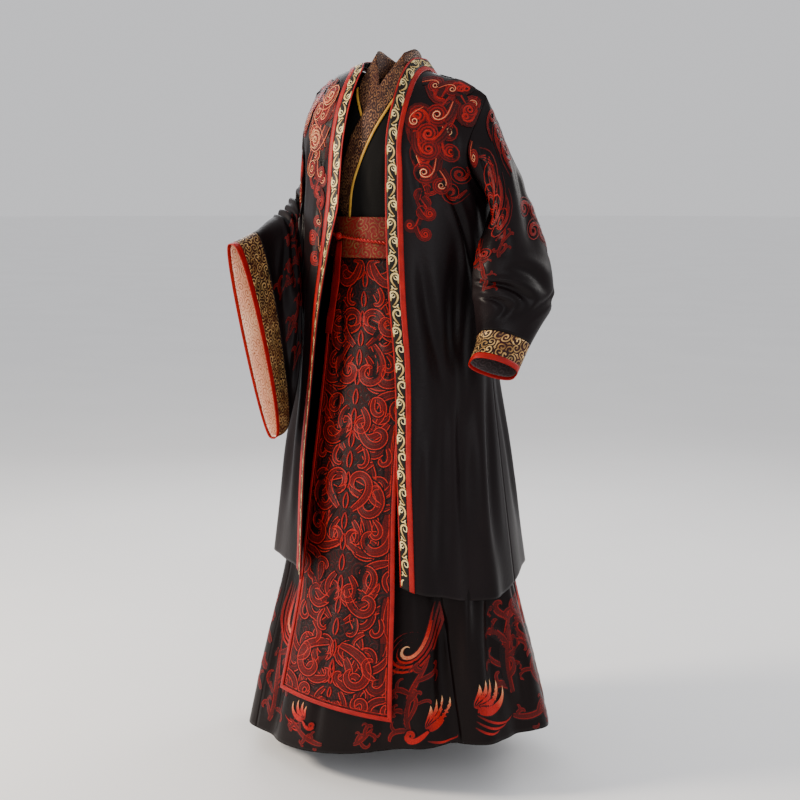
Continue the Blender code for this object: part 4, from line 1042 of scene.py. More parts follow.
for side in (1, -1):
    name, cuff, gap = sides[side], sleeves[side]["cuff"], sleeveShape["gap"] / sleeveShape["length"]
    edge = 1 - (1 - cuff) * sleeveShape["edgeShare"]
    cloth = sleeveCloth(side, 0, cuff - gap, sleeveShape["rows"], True)
    work = embroider(f"needlework_sleeve_{name}", cloth, sleeveFigures[side], redWork)
    sew(f"sleeve_{name}", cloth, "black_satin", "hung", robeShape["wall"], extras=(work,))
    cloth = sleeveCloth(side, cuff + gap, edge - gap, sleeveShape["cuffRows"][side])
    sew(f"cuff_band_{name}", cloth, "cuff_brocade", "hung", robeShape["wall"])
    cloth = sleeveCloth(side, edge + gap, 1, sleeveShape["edgeRows"])
    sew(f"cuff_edge_{name}", cloth, "red_silk", "hung", robeShape["wall"])
    start, stop = 1 - sleeves[side]["facing"], 1 - (1 - edge) * 0.5
    outer = sleeveCloth(side, start, stop, sleeveShape["facingRows"], True)
    sew(f"sleeve_facing_{name}", outer.raised(-(robeShape["wall"] + sleeveShape["facingGap"])),
        "facing_silk" if side < 0 else "grey_facing", "laid", sleeveShape["facingWall"])
print("sleeves sewn")

# The robe's collar: from the hem of the left front round the neck to the hem of the right front.
# Neck line: place and slope in degrees. Strips: inner and outer edge, columns.
collar = {
    "neckLine": (
        (0.054, 0.014, 0.0205, 54), (0.047, 0.038, 0.013, 53), (0.028, 0.056, 0.006, 52),
        (0.0, 0.063, 0.003, 51), (-0.032, 0.059, 0.005, 47), (-0.056, 0.042, 0.011, 39),
        (-0.068, 0.014, 0.0195, 27),
    ),
    "endSlopes": (52, 14), "stations": 90, "turnIn": 8, "piping": (-0.001, 0.0022, 4),
    "band": (0.0026, 0.0225, 7), "strip": (0.0229, 0.034, 5), "lift": 0.0019, "wall": 0.0013,
    "repeat": 0.071, "scrollLift": 0.0003, "scrollMargin": 0.0008,
}
# The scrolls of one in each pair. Columns: off the middle, ahead, lean, share of the pitch, turn, width,
# power, sway, tip, level. Off, lean, turn and sway go the other way in its mate.
bandScrolls = (
    (0.004, -0.004, 0.75, 0.92, -7.6, 0.0036, 0.9, 0.4, 0.3, 1),
    (0.0085, 0.004, -0.1, 0.26, 1.6, 0.004, 1.0, 0.0, 0.25, 0),
    (0.0078, 0.026, 0.9, 0.17, -2.6, 0.003, 1.0, 0.0, 0.25, 2),
    (-0.0082, 0.0075, 0.3, 0.16, 2.2, 0.0032, 1.0, 0.0, 0.25, 2),
    (-0.006, 0.031, -2.2, 0.14, 2.4, 0.0028, 1.0, 0.0, 0.25, 0),
)


def collarGrid(reach):
    across, v = grid(reach, bodyRows)
    b = bodyDown[:, None] + 0 * across
    halves, edges = [], []
    for side in (1, -1):
        edges.append(robeFront(side, 0 * across[:1, :1], v[:1, :1])[0])
        cloth = Cloth(robeFront(side, across, v), bodyDown)
        cloth.across = across
        cloth.crease(robeCreases[f"front_{sides[side]}"], ease(across / 0.06) * ease((b - 0.01) / 0.05))
        halves.append(cloth.points)
    ends = [np.append(edge[0], slope) for edge, slope in zip(edges, collar["endSlopes"])]
    rows = np.array([ends[0], *collar["neckLine"], ends[1]])
    line = through(rows, range(len(rows)), np.linspace(0, len(rows) - 1, collar["stations"])[1:-1])
    brink, slope = line[:, :3], np.radians(line[:, 3])
    outward = np.cross([0, 0, 1.0], np.gradient(brink, axis=0))
    outward = unit(outward * np.sign(np.sum(outward * brink, 1, keepdims=True)))
    fall = outward * np.cos(slope)[:, None] - np.array([0, 0, 1.0]) * np.sin(slope)[:, None]
    behind = brink[:, None] + fall[:, None] * np.array(reach)[None, :, None]
    # The first stations behind each shoulder turn smoothly out of the front
    for k in range(collar["turnIn"]):
        hold = 1 - ease((k + 1) / (collar["turnIn"] + 1))
        for i, half, edge in ((k, halves[0], edges[0]), (-1 - k, halves[1], edges[1])):
            behind[i] = behind[i] * (1 - hold) + (half[0] - edge + brink[i]) * hold
    return np.concatenate([halves[0][::-1], behind, halves[1]])


def scrollBand(long, wide):  # paired scrolls along a band, with tapered leaves between
    out = []
    count = int(round(long / collar["repeat"]))
    pitch = long / count
    for k in range(2 * count):
        hand = 1 if k % 2 else -1
        for off, ahead, lean, share, turn, width, power, sway, tip, level in bandScrolls:
            out.append(stroke(wide / 2 + hand * off, k / 2 * pitch + ahead, math.pi / 2 + hand * lean,
                              pitch * share, hand * turn, width, (0.45, 0.8, 1.0), power, hand * sway,
                              tip, level))
    return out


trims = []
for kind, slot, held in (("piping", "red_silk", None), ("band", "scroll_band", "laid"),
                         ("strip", "red_silk", "laid")):
    low, high, columns = collar[kind]
    points = collarGrid(np.linspace(low, high, columns))
    cloth = Cloth(points, np.cumsum(steps(points[:, columns // 2]))).raised(collar["lift"])
    if kind == "band":
        trims.append(embroider("collar_scrolls", cloth, scrollBand(cloth.down[-1], high - low), goldWork,
                               collar["scrollMargin"], 0.0, collar["scrollLift"]))
        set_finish(trims[-1], "gold_piping")
    piece = sew(f"collar_{kind}", cloth, slot, held, collar["wall"],
                trims if kind == "band" else ())
    if kind == "piping":
        trims.append(piece)
print("collar sewn")

# The inner top. Its lapels cross the chest: inner edge x z, outer edge x z; round the neck the edges'
# places.
lapelNeck = (
    (0.0, 0.049, 0.012, 0.0, 0.057, -0.04), (0.027, 0.041, 0.02, 0.031, 0.048, -0.036),
    (0.039, 0.02, 0.032, 0.043, 0.023, -0.026), (0.042, -0.012, 0.041, 0.046, -0.014, -0.018),
)
lapelChest = (
    (0.0385, 0.04, 0.049, -0.016), (0.021, 0.008, 0.048, -0.04), (-0.001, -0.04, 0.03, -0.08),
    (-0.022, -0.09, 0.006, -0.125), (-0.05, -0.142, -0.023, -0.192), (-0.07, -0.2, -0.04, -0.24),
    (-0.085, -0.262, -0.048, -0.304),
)
inner = {
    "rings": (
        (0.03, 0.15, 0.11, 0.085), (-0.1, 0.152, 0.121, 0.095), (-0.2, 0.15, 0.134, 0.1),
        (-0.3, 0.137, 0.134, 0.097), (-0.36, 0.129, 0.127, 0.092),
    ),
    "hem": ((-180, -0.3215), (180, -0.3215)), "folds": ((0, 1, -1, 0),), "armhole": -0.21, "opening": 34.0,
    "rounding": (0.13, 0.09), "neck": (0.05, -0.03, -0.022), "tip": (0.135, 0.0, -0.062),
    "shoulder": ((0, 0), (1, 0)), "edge": tuple(((row[3], row[2]) for row in lapelChest)), "collar": 0.0,
    "neckline": ((0.0, 0.062, -0.046), (0.028, 0.056, -0.042), (0.048, 0.03, -0.032)), "wall": 0.0013,
    "upper": 0.19, "lower": 0.11, "upperRows": 50, "lowerRows": 26, "crowding": 1.0, "columns": (5, 46, 34),
    "collarColumns": 11, "collarStations": 80, "tuck": 0.0009,
}
chestShape = {
    "rise": (
        (0.05, 0.03), (0.01, 0.056), (-0.005, 0.066), (-0.04, 0.09), (-0.08, 0.11), (-0.14, 0.125),
        (-0.2, 0.133), (-0.3, 0.134), (-0.36, 0.127),
    ),
    "width": 0.155, "share": 0.5, "low": (-0.05, 0.08), "side": (0.09, 0.04), "lift": 0.0052,
    "overlapSide": (0.13, 0.03), "piping": (0.0006, 0.0065),
    "pipingLift": (0.0019, 0.0025, 0.0028, 0.0025, 0.0019),
}


def chest(x, z, out):
    y = -curve(chestShape["rise"], z) * np.sqrt(1 - (x / chestShape["width"]) ** 2) - out
    return np.stack([x, y, z], -1)


def innerFront(side, u, v):
    points = panel(side, False, u, v, inner)
    x, z = points[..., 0], points[..., 2]
    low = ease((chestShape["low"][0] - z) / chestShape["low"][1])
    body = ease(u / chestShape["share"]) * (1 - low) \
        + ease((np.abs(x) - chestShape["side"][0]) / chestShape["side"][1]) * low
    overlap = ease((chestShape["overlapSide"][0] - x) / chestShape["overlapSide"][1]) if side > 0 else 0.0
    y = chest(x, z, 0.0)[..., 1] * (1 - body) + points[..., 1] * body - chestShape["lift"] * overlap
    return np.stack([x, y, z], -1)


innerRows, innerDown = rowsDown(inner)
innerCreases = {
    "front": (
        (0.05, 0.1, 0.12, 0.27, 0.008, 0.0022, 0.01), (0.02, 0.16, 0.07, 0.28, 0.008, 0.002, 0.01),
        (0.1, 0.05, 0.15, 0.2, 0.01, 0.0022, 0.01),
    ),
    "back": ((0.12, 0.1, 0.2, 0.27, 0.012, 0.003, 0.01), (0.3, 0.1, 0.26, 0.27, 0.012, 0.003, 0.01)),
}
pipingColumns, frontColumns, backColumns = inner["columns"]
for side in (1, -1):
    across, v = grid(np.linspace(*chestShape["piping"], pipingColumns), innerRows[4:])
    width = frontWidth(lambda u: innerFront(side, u, v), v)
    cord = Cloth(innerFront(side, across / width, v), innerDown[4:])
    cord = cord.raised(np.array(chestShape["pipingLift"])[None, :, None])
    piping = sew(f"inner_piping_{sides[side]}", cord, "gold_piping", None, inner["wall"])
    cloth = Cloth(innerFront(side, *grid(np.linspace(0, 1, frontColumns), innerRows)), innerDown)
    cloth.crease(innerCreases["front"], bodyFade(cloth, 0.03))
    sew(f"inner_front_{sides[side]}", cloth, "black_cloth", "hung", inner["wall"], extras=(piping,))
half = panel(1, True, *grid(np.linspace(0, 1, backColumns), innerRows), inner)
half[:, 0, 0] = 0
cloth = Cloth(np.concatenate([half[:, :0:-1] * [-1, 1, 1], half], 1), innerDown)
cloth.crease(innerCreases["back"], bodyFade(cloth, 0.03))
sew("inner_back", cloth, "black_cloth", "hung", inner["wall"])


def lapel(side, shares):
    # From the lapel's inner edge to its outer one, the last column tucked down to the front it lies on
    u, v = grid((0,), innerRows)
    outer = innerFront(side, u, v)[:, 0]
    pairs = [(row[3], row[0], row[1]) for row in lapelChest]
    x = side * curve(pairs, outer[:, 2])[:, None] * (1 - shares) + outer[:, :1] * shares
    z = curve(pairs, outer[:, 2], 2)[:, None] * (1 - shares) + outer[:, 2:] * shares
    strip = chest(x, z, chestShape["lift"] if side > 0 else 0.0)
    strip[:, -1] -= unit(outer - strip[:, -2]) * inner["tuck"]
    return strip


shares = np.linspace(0, 1, inner["collarColumns"])[None, :]
left, right = lapel(1, shares)[::-1], lapel(-1, shares)
line = np.array(lapelNeck)
line = np.concatenate([line[:0:-1], line * [-1, 1, 1, -1, 1, 1]])
rows = np.array([np.ravel(left[-1, [0, -1]]), *line, np.ravel(right[0, [0, -1]])])
rims = through(rows, range(len(rows)), np.linspace(0, len(rows) - 1, inner["collarStations"])[1:-1])
neck = rims[:, None, :3] * (1 - shares[..., None]) + rims[:, None, 3:] * shares[..., None]
points = np.concatenate([left, neck, right])
cloth = Cloth(points, np.cumsum(steps(points[:, inner["collarColumns"] // 2])))
sew("inner_collar", cloth, "lapel_brocade", "laid", inner["wall"])
print("inner top sewn")

# The skirt: four gores cut from one flared form
skirtShape = {
    "rings": (
        (-0.322, 0.139, 0.1365, 0.103), (-0.42, 0.141, 0.141, 0.107), (-0.56, 0.172, 0.16, 0.128),
        (-0.8, 0.216, 0.192, 0.162), (-1.05, 0.254, 0.222, 0.202), (-1.25, 0.312, 0.252, 0.238),
        (-1.43, 0.362, 0.268, 0.27),
    ),
    "hem": (
        (-180, -1.395), (-100, -1.4), (-53, -1.41), (-20, -1.409), (0, -1.392), (25, -1.36), (60, -1.354),
        (102, -1.36), (180, -1.395),
    ),
    "folds": (
        (-70, 7, -0.8, -0.014), (-50, 6, -0.75, 0.012), (-36, 5, -0.95, -0.009), (30, 5, -0.8, 0.01),
        (42, 4, -0.62, -0.014), (55, 6, -0.8, 0.013), (72, 5, -0.9, -0.01), (88, 7, -0.85, 0.013),
        (112, 8, -0.7, -0.016), (134, 8, -0.7, 0.016), (156, 8, -0.7, -0.016), (180, 9, -0.7, 0.016),
        (-92, 7, -0.85, 0.013), (-112, 8, -0.7, -0.016), (-134, 8, -0.7, 0.016), (-157, 8, -0.7, -0.014),
    ),
    "top": -0.324, "long": 1.07, "columns": 76, "rows": 130, "gap": 0.00018, "wall": 0.0018,
}
gores = (("front", -45), ("left", 45), ("back", 135), ("right", 225))


def skirtPoints(turn, v):
    hem = curve(skirtShape["hem"], (turn + 180) % 360 - 180)
    z = skirtShape["top"] + (hem - skirtShape["top"]) * v
    return ring(skirtShape["rings"], turn, z, folds(skirtShape["folds"], turn, z))


# Across is measured from the seam at the wearer's right of the front, round by the left
skirtCreases = (
    (0.5, 0.55, 0.62, 1.05, 0.016, 0.008, 0.01), (0.42, 0.7, 0.5, 1.06, 0.012, 0.006, 0.01),
    (0.6, 0.8, 0.7, 1.05, 0.012, 0.006, -0.01), (0.55, 0.62, 0.66, 0.86, 0.008, 0.0045, 0.01),
    (0.7, 0.72, 0.86, 1.04, 0.014, 0.007, 0.0), (0.1, 0.8, 0.06, 1.08, 0.014, 0.006, 0.01),
    (0.3, 0.86, 0.36, 1.08, 0.014, 0.006, -0.01), (0.02, 0.7, 0.015, 1.07, 0.01, 0.005, 0.0),
    (0.95, 0.6, 1.1, 1.06, 0.018, 0.0075, 0.01), (1.12, 0.7, 1.3, 1.06, 0.018, 0.0075, -0.01),
    (1.3, 0.62, 1.48, 1.06, 0.018, 0.007, 0.0), (1.5, 0.75, 1.68, 1.06, 0.016, 0.007, 0.01),
    (0.2, 0.88, 0.2, 1.08, 0.012, 0.005, 0.005), (0.435, 0.62, 0.535, 0.99, 0.011, -0.0065, 0.005),
)
columns = skirtShape["columns"]
turns = np.concatenate([np.linspace(start, start + 90, columns) for _, start in gores])
shift = np.zeros(len(turns))
shift[::columns], shift[columns - 1::columns] = 1, -1
turn, v = grid(turns, np.linspace(0, 1, skirtShape["rows"]))
radius = curve(skirtShape["rings"], skirtShape["top"] - skirtShape["long"] * v)
turn = turn + shift * np.degrees(skirtShape["gap"] / radius)
whole = Cloth(skirtPoints(turn, v), skirtShape["long"] * v[:, 0])
whole.crease(skirtCreases, ease((whole.down[:, None] - 0.05) / 0.2) + 0 * whole.across)
skirtFigures = {
    "front": plumes(((0.405, 0.775, 88, 0.165, 5.4, 0.0095, 5), (0.045, 0.74, 100, 0.15, -5.4, 0.009, 4)))
        + coral((
            (0.425, 1.04, 0.395, 0.89, 0.35, 7, 0.062, 0.013),
            (0.36, 1.0, 0.355, 0.87, -0.25, 5, 0.05, 0.011),
            (0.035, 1.045, 0.055, 0.84, -0.3, 7, 0.066, 0.014),
            (0.225, 1.052, 0.12, 1.03, 0.3, 5, 0.042, 0.01), (0.1, 0.97, 0.105, 0.8, 0.3, 6, 0.056, 0.0115),
            (0.3, 1.05, 0.345, 1.03, -0.3, 4, 0.036, 0.009),
        ), 31)
        + wings(((0.462, 1.03, -90, 0.078, 1, 5), (0.165, 1.005, -85, 0.05, -1, 4))),
    "left": coral((
        (0.15, 0.985, 0.165, 0.77, 0.35, 8, 0.088, 0.018), (0.235, 1.0, 0.245, 0.8, -0.5, 7, 0.08, 0.0165),
        (0.14, 1.03, 0.275, 1.035, -0.4, 5, 0.046, 0.012), (0.43, 0.99, 0.44, 0.77, 0.3, 8, 0.084, 0.017),
    ), 33)
        + wings(((0.045, 0.995, -75, 0.084, 1, 5), (0.335, 1.02, -95, 0.078, -1, 5)))
        + plumes(((0.345, 0.76, 85, 0.16, 5.4, 0.0095, 4),)),
    "back": coral((
        (0.13, 1.0, 0.125, 0.775, 0.35, 8, 0.088, 0.0175), (0.48, 0.99, 0.48, 0.78, -0.3, 8, 0.082, 0.0165),
        (0.225, 1.01, 0.215, 0.84, -0.4, 6, 0.07, 0.015),
    ), 35)
        + wings((
            (0.31, 1.01, -85, 0.07, 1, 5), (0.385, 1.025, -95, 0.06, -1, 5),
            (0.575, 1.015, -80, 0.058, 1, 5),
        ))
        + plumes(((0.335, 0.76, 80, 0.16, 5.4, 0.0095, 4), (0.04, 0.78, 95, 0.15, -5.4, 0.009, 4))),
    "right": coral((
        (0.14, 0.99, 0.14, 0.79, 0.3, 8, 0.084, 0.017), (0.43, 1.0, 0.405, 0.76, -0.3, 8, 0.084, 0.017),
        (0.225, 1.01, 0.22, 0.85, -0.4, 6, 0.066, 0.0145),
    ), 37)
        + wings((
            (0.31, 1.01, -85, 0.068, 1, 5), (0.52, 1.02, -95, 0.058, -1, 5), (0.05, 1.02, -80, 0.056, 1, 4),
        ))
        + plumes(((0.33, 0.76, 85, 0.16, 5.4, 0.0095, 4),)),
}
for i, (name, _) in enumerate(gores):
    cloth = whole.columns(i * columns, (i + 1) * columns)
    work = embroider(f"needlework_skirt_{name}", cloth, skirtFigures[name], redWork)
    sew(f"skirt_{name}", cloth, "skirt_satin", "hung", skirtShape["wall"], extras=(work,))
print("skirt sewn")

# The front panel. Edges: height, left, right; out is how far it hangs in front of the skirt.
apronShape = {
    "edges": (
        (-0.372, -0.098, 0.098), (-0.53, -0.092, 0.096), (-0.72, -0.1, 0.096), (-0.9, -0.113, 0.098),
        (-1.06, -0.124, 0.106), (-1.2, -0.142, 0.114), (-1.31, -0.16, 0.12),
    ),
    "bottom": (-1.283, -1.302), "out": ((-0.372, 0.005), (-0.43, 0.012), (-0.6, 0.015), (-1.31, 0.02)),
    "long": 0.92, "rows": 200, "columns": 56, "wall": 0.0018, "margin": 0.012, "foot": 0.014,
    "apart": 0.0015, "cellHalf": 0.098, "rise": 0.00004,
}
bindingShape = {"width": 0.009, "down": 180, "along": 52, "inset": 0.0005, "step": 0.0046, "wall": 0.0013,
                "lifts": (0.0019, 0.0023, 0.0025, 0.0023, 0.0019)}
apronCreases = (
    (0.05, 0.04, 0.06, 0.4, 0.01, 0.0022, 0.005), (0.12, 0.02, 0.135, 0.3, 0.01, 0.0022, -0.004),
    (0.035, 0.4, 0.06, 0.8, 0.014, 0.003, 0.01), (0.16, 0.5, 0.15, 0.88, 0.014, 0.003, -0.005),
    (0.1, 0.62, 0.11, 0.9, 0.012, 0.0025, 0.005), (0.085, 0.25, 0.08, 0.6, 0.01, 0.002, 0.005),
)


def apronPoints(u, v):
    top, (low, high) = apronShape["edges"][0][0], apronShape["bottom"]
    z = top + (low + (high - low) * u - top) * v
    left, right = curve(apronShape["edges"], z), curve(apronShape["edges"], z, 2)
    x = left + (right - left) * u
    return np.stack([x, onForm(skirtShape["rings"], x, z, curve(apronShape["out"], z)), z], -1)


u, v = grid(np.linspace(0, 1, apronShape["columns"]), np.linspace(0, 1, apronShape["rows"]))
apron = Cloth(apronPoints(u, v), apronShape["long"] * v[:, 0])
apron.crease(apronCreases, ease(apron.across / 0.02) * ease((apron.across[:, -1:] - apron.across) / 0.02)
             * ease(apron.down[:, None] / 0.05))

# Half of the ornament, cell by cell: across from the centre line, down in the cell, heading in degrees,
# length, turn, width. Two kinds of cell take turns; apronCells gives the start, the scale and the kind.
apronCell = (
    (0.093, 0.0, 95, 0.16, -4.2, 0.016), (0.06, -0.008, 125, 0.12, 4.8, 0.014),
    (0.012, -0.004, 70, 0.12, -5.4, 0.015), (0.01, 0.1, 10, 0.165, 5.6, 0.017),
    (0.012, 0.165, -40, 0.135, -5.2, 0.014), (0.093, 0.105, 120, 0.1, 4.6, 0.013),
    (0.05, 0.07, 150, 0.06, -3.6, 0.01), (0.075, 0.04, 60, 0.055, 4.4, 0.009),
    (0.03, 0.045, 60, 0.05, 3.0, 0.008), (0.07, 0.15, 200, 0.06, 3.6, 0.01),
)
apronOtherCell = (
    (0.094, 0.004, 80, 0.15, 4.8, 0.017), (0.012, 0.0, 50, 0.15, 5.6, 0.016),
    (0.01, 0.07, 30, 0.13, -5.2, 0.015), (0.093, 0.095, 170, 0.13, -4.8, 0.015),
    (0.05, 0.16, -60, 0.085, -4.4, 0.012), (0.01, 0.13, 50, 0.08, 4.2, 0.012),
    (0.06, 0.02, 40, 0.055, 4.4, 0.009), (0.04, 0.11, 100, 0.055, -3.6, 0.009),
    (0.088, 0.15, 230, 0.055, 3.4, 0.009),
)
apronCells = (
    (0.022, 0.98, 0), (0.178, 0.98, 1), (0.34, 1.04, 0), (0.506, 1.06, 1), (0.676, 1.1, 0), (0.81, 0.7, 1),
)


def apronHalf(b):  # the panel's half width, which is also where its centre line lies
    return np.interp(b, apron.down, apronHalves)


def mirrored(row, start, scale, wider, level, tone):
    # A band of a cell and its mirror image, each moved outwards until it only touches the centre line
    x, y, heading, length, turn, wide = row
    down = start + y * scale
    middle = apronHalf(down)
    out = []
    for hand in (1, -1):
        lead = heading if hand > 0 else 180 - heading
        group = nest(middle + hand * x * middle / apronShape["cellHalf"], down, lead, length * scale,
                     hand * turn, wider * wide, level, tone)
        path, broad = group[1][:2]
        nearest = ((path[:, 0] - apronHalf(path[:, 1])) * hand - broad / 2).min()
        push = max(0.0, apronShape["apart"] - nearest) * hand
        out += [(path + [push, 0], broad, tones, up) for path, broad, tones, up in group]
    return out


def apronOrnament():
    out = []
    number = 0
    for start, scale, kind in apronCells:
        cells = (apronCell, apronOtherCell) if kind else (apronOtherCell, apronCell)
        for row in cells[0][:6]:  # the other kind's bands show dimly between
            out += mirrored(row, start + 0.055 * scale, scale, 1.1, 0, 0.13)
        for row in cells[1]:
            out += mirrored(row, start, scale, 1.2, 3 + 3 * (number % 6), 0.17 + 0.03 * ((number * 7) % 3))
            number += 1
        for k in range(4):  # pointed drops on the centre line
            down = start + (0.012 + 0.040 * k) * scale
            for hand in (1, -1):
                out.append(stroke(apronHalf(down), down, math.radians(90 - hand * 30), 0.034 * scale,
                                  hand * 1.05, 0.0032, (red, bright), 0.2, 0.0, 0.7, 22))
    kept = []
    for path, broad, tone, level in out:
        aside = apronShape["margin"] + broad * 0.3
        across = np.clip(path[:, 0], aside, apronHalf(path[:, 1]) * 2 - aside)
        down = np.clip(path[:, 1], apronShape["margin"], apronShape["long"] - apronShape["foot"])
        kept.append((np.stack([across, down], 1), broad, tone, level))
    return kept


def bindingCloth():
    # The binding follows three edges: down the right one, along the bottom, up the left one
    long, inset = apronShape["long"], bindingShape["inset"]
    down = np.linspace(0, long - inset, bindingShape["down"])
    wide = np.interp(np.linspace(0, long, bindingShape["down"]), apron.down, apron.across[:, -1])
    reach = bindingShape["width"] * np.linspace(0, 1, len(bindingShape["lifts"]))
    low = np.minimum(down[:, None], long - reach)
    side = np.stack([reach + 0 * low, low], -1)
    share = np.linspace(0, 1, bindingShape["along"])[1:-1, None]
    foot = np.stack([reach + (wide[-1] - 2 * reach) * share, long - inset - reach + 0 * share], -1)
    far = np.stack([wide[:, None] - reach, low], -1)[::-1]
    flat = np.concatenate([side, foot, far])
    lifts = np.broadcast_to(bindingShape["lifts"][0], flat.shape[:2])
    points = apron.at(flat[..., 0].ravel(), flat[..., 1].ravel(), lifts.ravel()).reshape(*flat.shape[:2], 3)
    crown = np.array(bindingShape["lifts"]) - bindingShape["lifts"][0]
    return Cloth(points, np.arange(len(points)) * bindingShape["step"]).raised(crown[None, :, None])


apronHalves = apron.across[:, -1] / 2
ornament = embroider("apron_ornament", apron, apronOrnament(), redWork, 0.010, rise=apronShape["rise"])
binding = sew("apron_binding", bindingCloth(), "red_silk", None, bindingShape["wall"])
sew("apron_panel", apron, "apron_brocade", "hung", apronShape["wall"], extras=(ornament, binding))
print("front panel sewn")

# The belt with its cord, knot and ribbon
beltShape = {
    "rings": ((-0.29, 0.147, 0.1485, 0.109), (-0.39, 0.151, 0.1545, 0.117)), "top": -0.297,
    "bottom": -0.379, "rows": 22, "columns": 181, "wall": 0.0013,
    "creases": (
        (0.02, 0.02, 0.12, 0.03, 0.004, 0.001, 0.002), (0.8, 0.05, 0.9, 0.062, 0.005, 0.001, 0.0),
        (0.1, 0.06, 0.2, 0.066, 0.004, 0.001, 0.001),
    ),
}
cordShape = {"height": -0.343, "slope": -0.12, "radius": 0.0036, "off": 0.0005, "strands": 2, "lay": 0.016,
             "thin": 0.52, "stations": 420, "weld": 2e-5}
# The knot: rounds of cord laid over each other, each with its tilt, roll and size
knotShape = {"turn": -24.0, "size": (0.010, 0.008, 0.009), "tuck": 0.003, "cord": 0.0024, "squash": 0.85,
             "rounds": ((0.0, 0.5, 0.0062), (1.05, 0.2, 0.0060), (-1.0, -0.3, 0.0058), (1.57, 1.2, 0.0050))}
turn, z = grid(np.linspace(0, 360, beltShape["columns"]),
               np.linspace(beltShape["top"], beltShape["bottom"], beltShape["rows"]))
cloth = Cloth(ring(beltShape["rings"], turn, z), beltShape["top"] - z[:, 0], True)
cloth.crease(beltShape["creases"], 1 + 0 * cloth.across)
sew("belt", cloth, "belt_brocade", "laid", beltShape["wall"])


def windTube(bm, core, out, side, radius, sides=8):  # a tube round a line, given two directions across it
    angle = np.linspace(0, 2 * np.pi, sides + 1)[None, :, None]
    layGrid(bm, core[:, None] + radius * (out[:, None] * np.cos(angle) + side[:, None] * np.sin(angle)))


def twistedCord(middle, outward, sides=8):
    # Strands wound round the cord's own line
    bm = bmesh.new()
    side = unit(np.cross(unit(np.gradient(middle, axis=0)), outward))
    out = unit(np.cross(side, unit(np.gradient(middle, axis=0))))
    place = np.cumsum(steps(middle))
    thin = cordShape["radius"] * cordShape["thin"]
    for k in range(cordShape["strands"]):
        phase = 2 * np.pi * (place / cordShape["lay"] + k / cordShape["strands"])[:, None]
        core = middle + (out * np.cos(phase) + side * np.sin(phase)) * (cordShape["radius"] - thin)
        windTube(bm, core, out, side, thin, sides)
    bmesh.ops.remove_doubles(bm, verts=bm.verts, dist=cordShape["weld"])
    bmesh.ops.holes_fill(bm, edges=[e for e in bm.edges if e.is_boundary], sides=sides + 2)
    bmesh.ops.recalc_face_normals(bm, faces=bm.faces)
    return bm


def rotation(angle, first, second):  # turns one axis towards another
    turn = np.eye(3)
    turn[first, first] = turn[second, second] = math.cos(angle)
    turn[second, first], turn[first, second] = math.sin(angle), -math.sin(angle)
    return turn


def woundKnot(place):
    bm = bmesh.new()
    t = np.append(np.linspace(0, 2 * np.pi, 33)[:-1], 0)
    facing = rotation(math.radians(knotShape["turn"]), 0, 1)
    for tilt, roll, size in knotShape["rounds"]:
        loop = np.stack([np.cos(t) * size, 0 * t, np.sin(t) * size * knotShape["squash"]], 1)
        loop = loop @ rotation(tilt, 1, 2).T @ rotation(roll, 0, 1).T * [1.0, 0.75, 1.0]
        centre = unit(loop)
        along = unit(np.roll(loop, -1, 0) - np.roll(loop, 1, 0))
        along[0] = along[-1] = unit(loop[1] - loop[-2])
        side = unit(np.cross(along, centre))
        windTube(bm, loop @ facing.T + place, centre @ facing.T, side @ facing.T, knotShape["cord"])
    bmesh.ops.remove_doubles(bm, verts=bm.verts, dist=cordShape["weld"])
    bmesh.ops.recalc_face_normals(bm, faces=bm.faces)
    return bm


def cordSilk(name, colour, dark):
    look = Look(name, 0.5, 0.3)
    where = look.node("ShaderNodeTexCoord", None, None, "Object")
    shade = look.noise(where, 260.0, 3.0)
    fibre = look.noise(look.stretch(where, (1, 1, 3)), 900.0)
    return look.feed(colour=look.blend(shade.ramp(0.3, 0.7), dark, colour),
                     normal=look.bump(fibre, 0.0004, 0.6))


def tie(node, suffix, bm):  # a piece of cord stands for its solid and rides on the body
    piece = addPiece(f"{node}_{suffix}", bm, cordLook)
    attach(piece, "root")
    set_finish(piece, "red_silk")
    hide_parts(node)


def beltRing(turn, height, out=0.0):
    return ring(beltShape["rings"], turn, height, out)


cordLook = cordSilk("cord silk", (0.46, 0.0080, 0.0050), (0.22, 0.0040, 0.0030))
knotTurn = np.array(knotShape["turn"])
height = cordShape["height"] + cordShape["slope"] * beltRing(knotTurn, np.array(cordShape["height"]))[0]
knotAt = beltRing(knotTurn, height, knotShape["size"][1] + cordShape["off"])
stop = np.degrees((knotShape["size"][0] - knotShape["tuck"]) / np.linalg.norm(knotAt[:2]))
turn = np.linspace(knotShape["turn"] + stop, knotShape["turn"] + 360 - stop, cordShape["stations"])
height = cordShape["height"] + cordShape["slope"] * beltRing(turn, 0 * turn + cordShape["height"])[:, 0]
middle = beltRing(turn, height, cordShape["radius"] + cordShape["off"])
tie("belt_cord", "twist", twistedCord(middle, beltRing(turn, height, 1.0) - beltRing(turn, height)))
tie("belt_knot", "wound", woundKnot(knotAt))

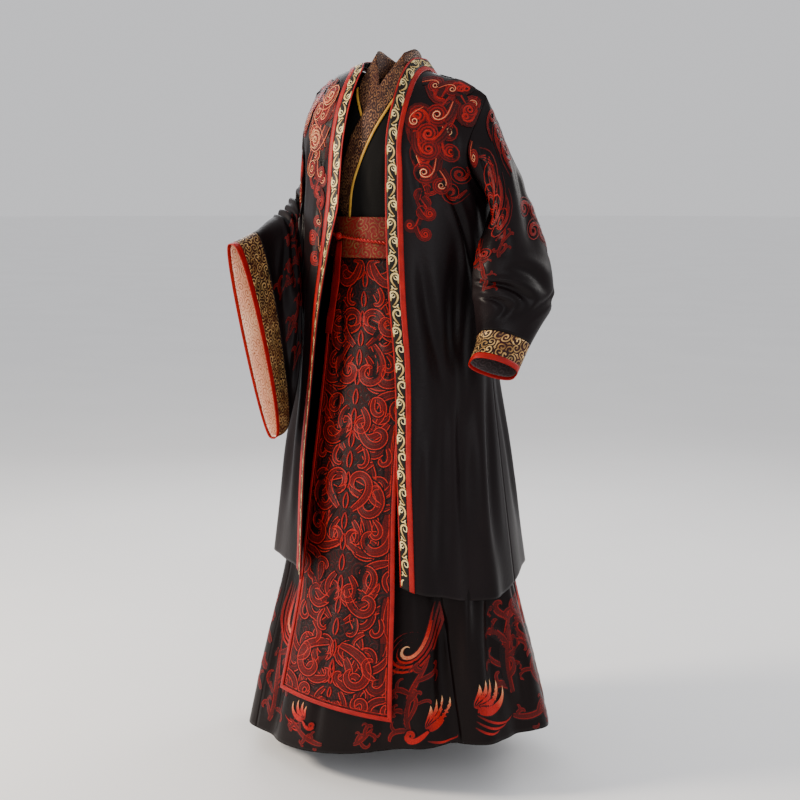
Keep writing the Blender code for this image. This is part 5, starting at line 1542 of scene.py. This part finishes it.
# The ribbon: height, middle, half width, distance in front of the skirt
tail = (
    (-0.347, -0.062, 0.007, 0.0225), (-0.385, -0.067, 0.01, 0.0225), (-0.43, -0.073, 0.012, 0.0215),
    (-0.48, -0.079, 0.012, 0.021), (-0.535, -0.084, 0.011, 0.021),
)
z, share = np.meshgrid(np.linspace(tail[0][0], tail[-1][0], 60), np.linspace(-1, 1, 9), indexing="ij")
x = curve(tail, z) + curve(tail, z, 2) * share
out = curve(tail, z, 3) + 0.0008 * np.sin(z * 90) * share  # a slight twist
cloth = Cloth(np.stack([x, onForm(skirtShape["rings"], x, z, out), z], -1), np.linspace(0, 0.19, 60))
sew("belt_ribbon", cloth, "red_silk", "hung", 0.0012)
print("belt made")

# Floor and lights
studio = {
    "floor": -1.47, "floorSize": 60.0, "floorSides": 96,
    "floorColours": ((0.90, 0.90, 0.90), (0.93, 0.93, 0.93)),
    "world": (0.97, 0.97, 1.0), "worldStrength": 0.80, "aim": (0, 0, -0.7),
    "lights": (  # name, place, size, power, colour
        ("key", (-2.4, -1.9, 0.7), 0.8, 150, (1.0, 0.88, 0.74)),
        ("fill", (2.3, -2.1, 0.3), 1.6, 20, (0.95, 0.96, 1.0)),
        ("rim", (1.3, 2.3, 0.8), 1.5, 30, (1.0, 0.97, 0.94)),
        ("back", (-1.6, 2.0, 0.6), 1.6, 24, (0.95, 0.97, 1.0)),
    ),
}


def buildStudio(spec):
    bm = bmesh.new()
    bmesh.ops.create_circle(bm, cap_ends=True, segments=spec["floorSides"], radius=spec["floorSize"])
    bmesh.ops.translate(bm, verts=bm.verts, vec=(0, 0, spec["floor"]))
    look = Look("floor", 0.8)
    tone = look.noise(look.node("ShaderNodeTexCoord", None, None, "Object"), 1.5, 3.0).ramp(0.3, 0.7)
    addPiece("floor", bm, look.feed(colour=look.blend(tone, *spec["floorColours"])), False)
    world = bpy.data.worlds.new("studio")
    world.use_nodes = True
    sky = world.node_tree.nodes["Background"].inputs
    sky["Color"].default_value = (*spec["world"], 1)
    sky["Strength"].default_value = spec["worldStrength"]
    bpy.context.scene.world = world
    for name, place, size, power, colour in spec["lights"]:
        lamp = bpy.data.lights.new(name, "AREA")
        lamp.shape = "DISK"
        lamp.size = size
        lamp.energy = power
        lamp.color = colour
        light = bpy.data.objects.new(name, lamp)
        light.location = place
        light.rotation_euler = (Vector(place) - Vector(spec["aim"])).to_track_quat("Z", "Y").to_euler()
        bpy.context.collection.objects.link(light)


buildStudio(studio)
print("studio lit")
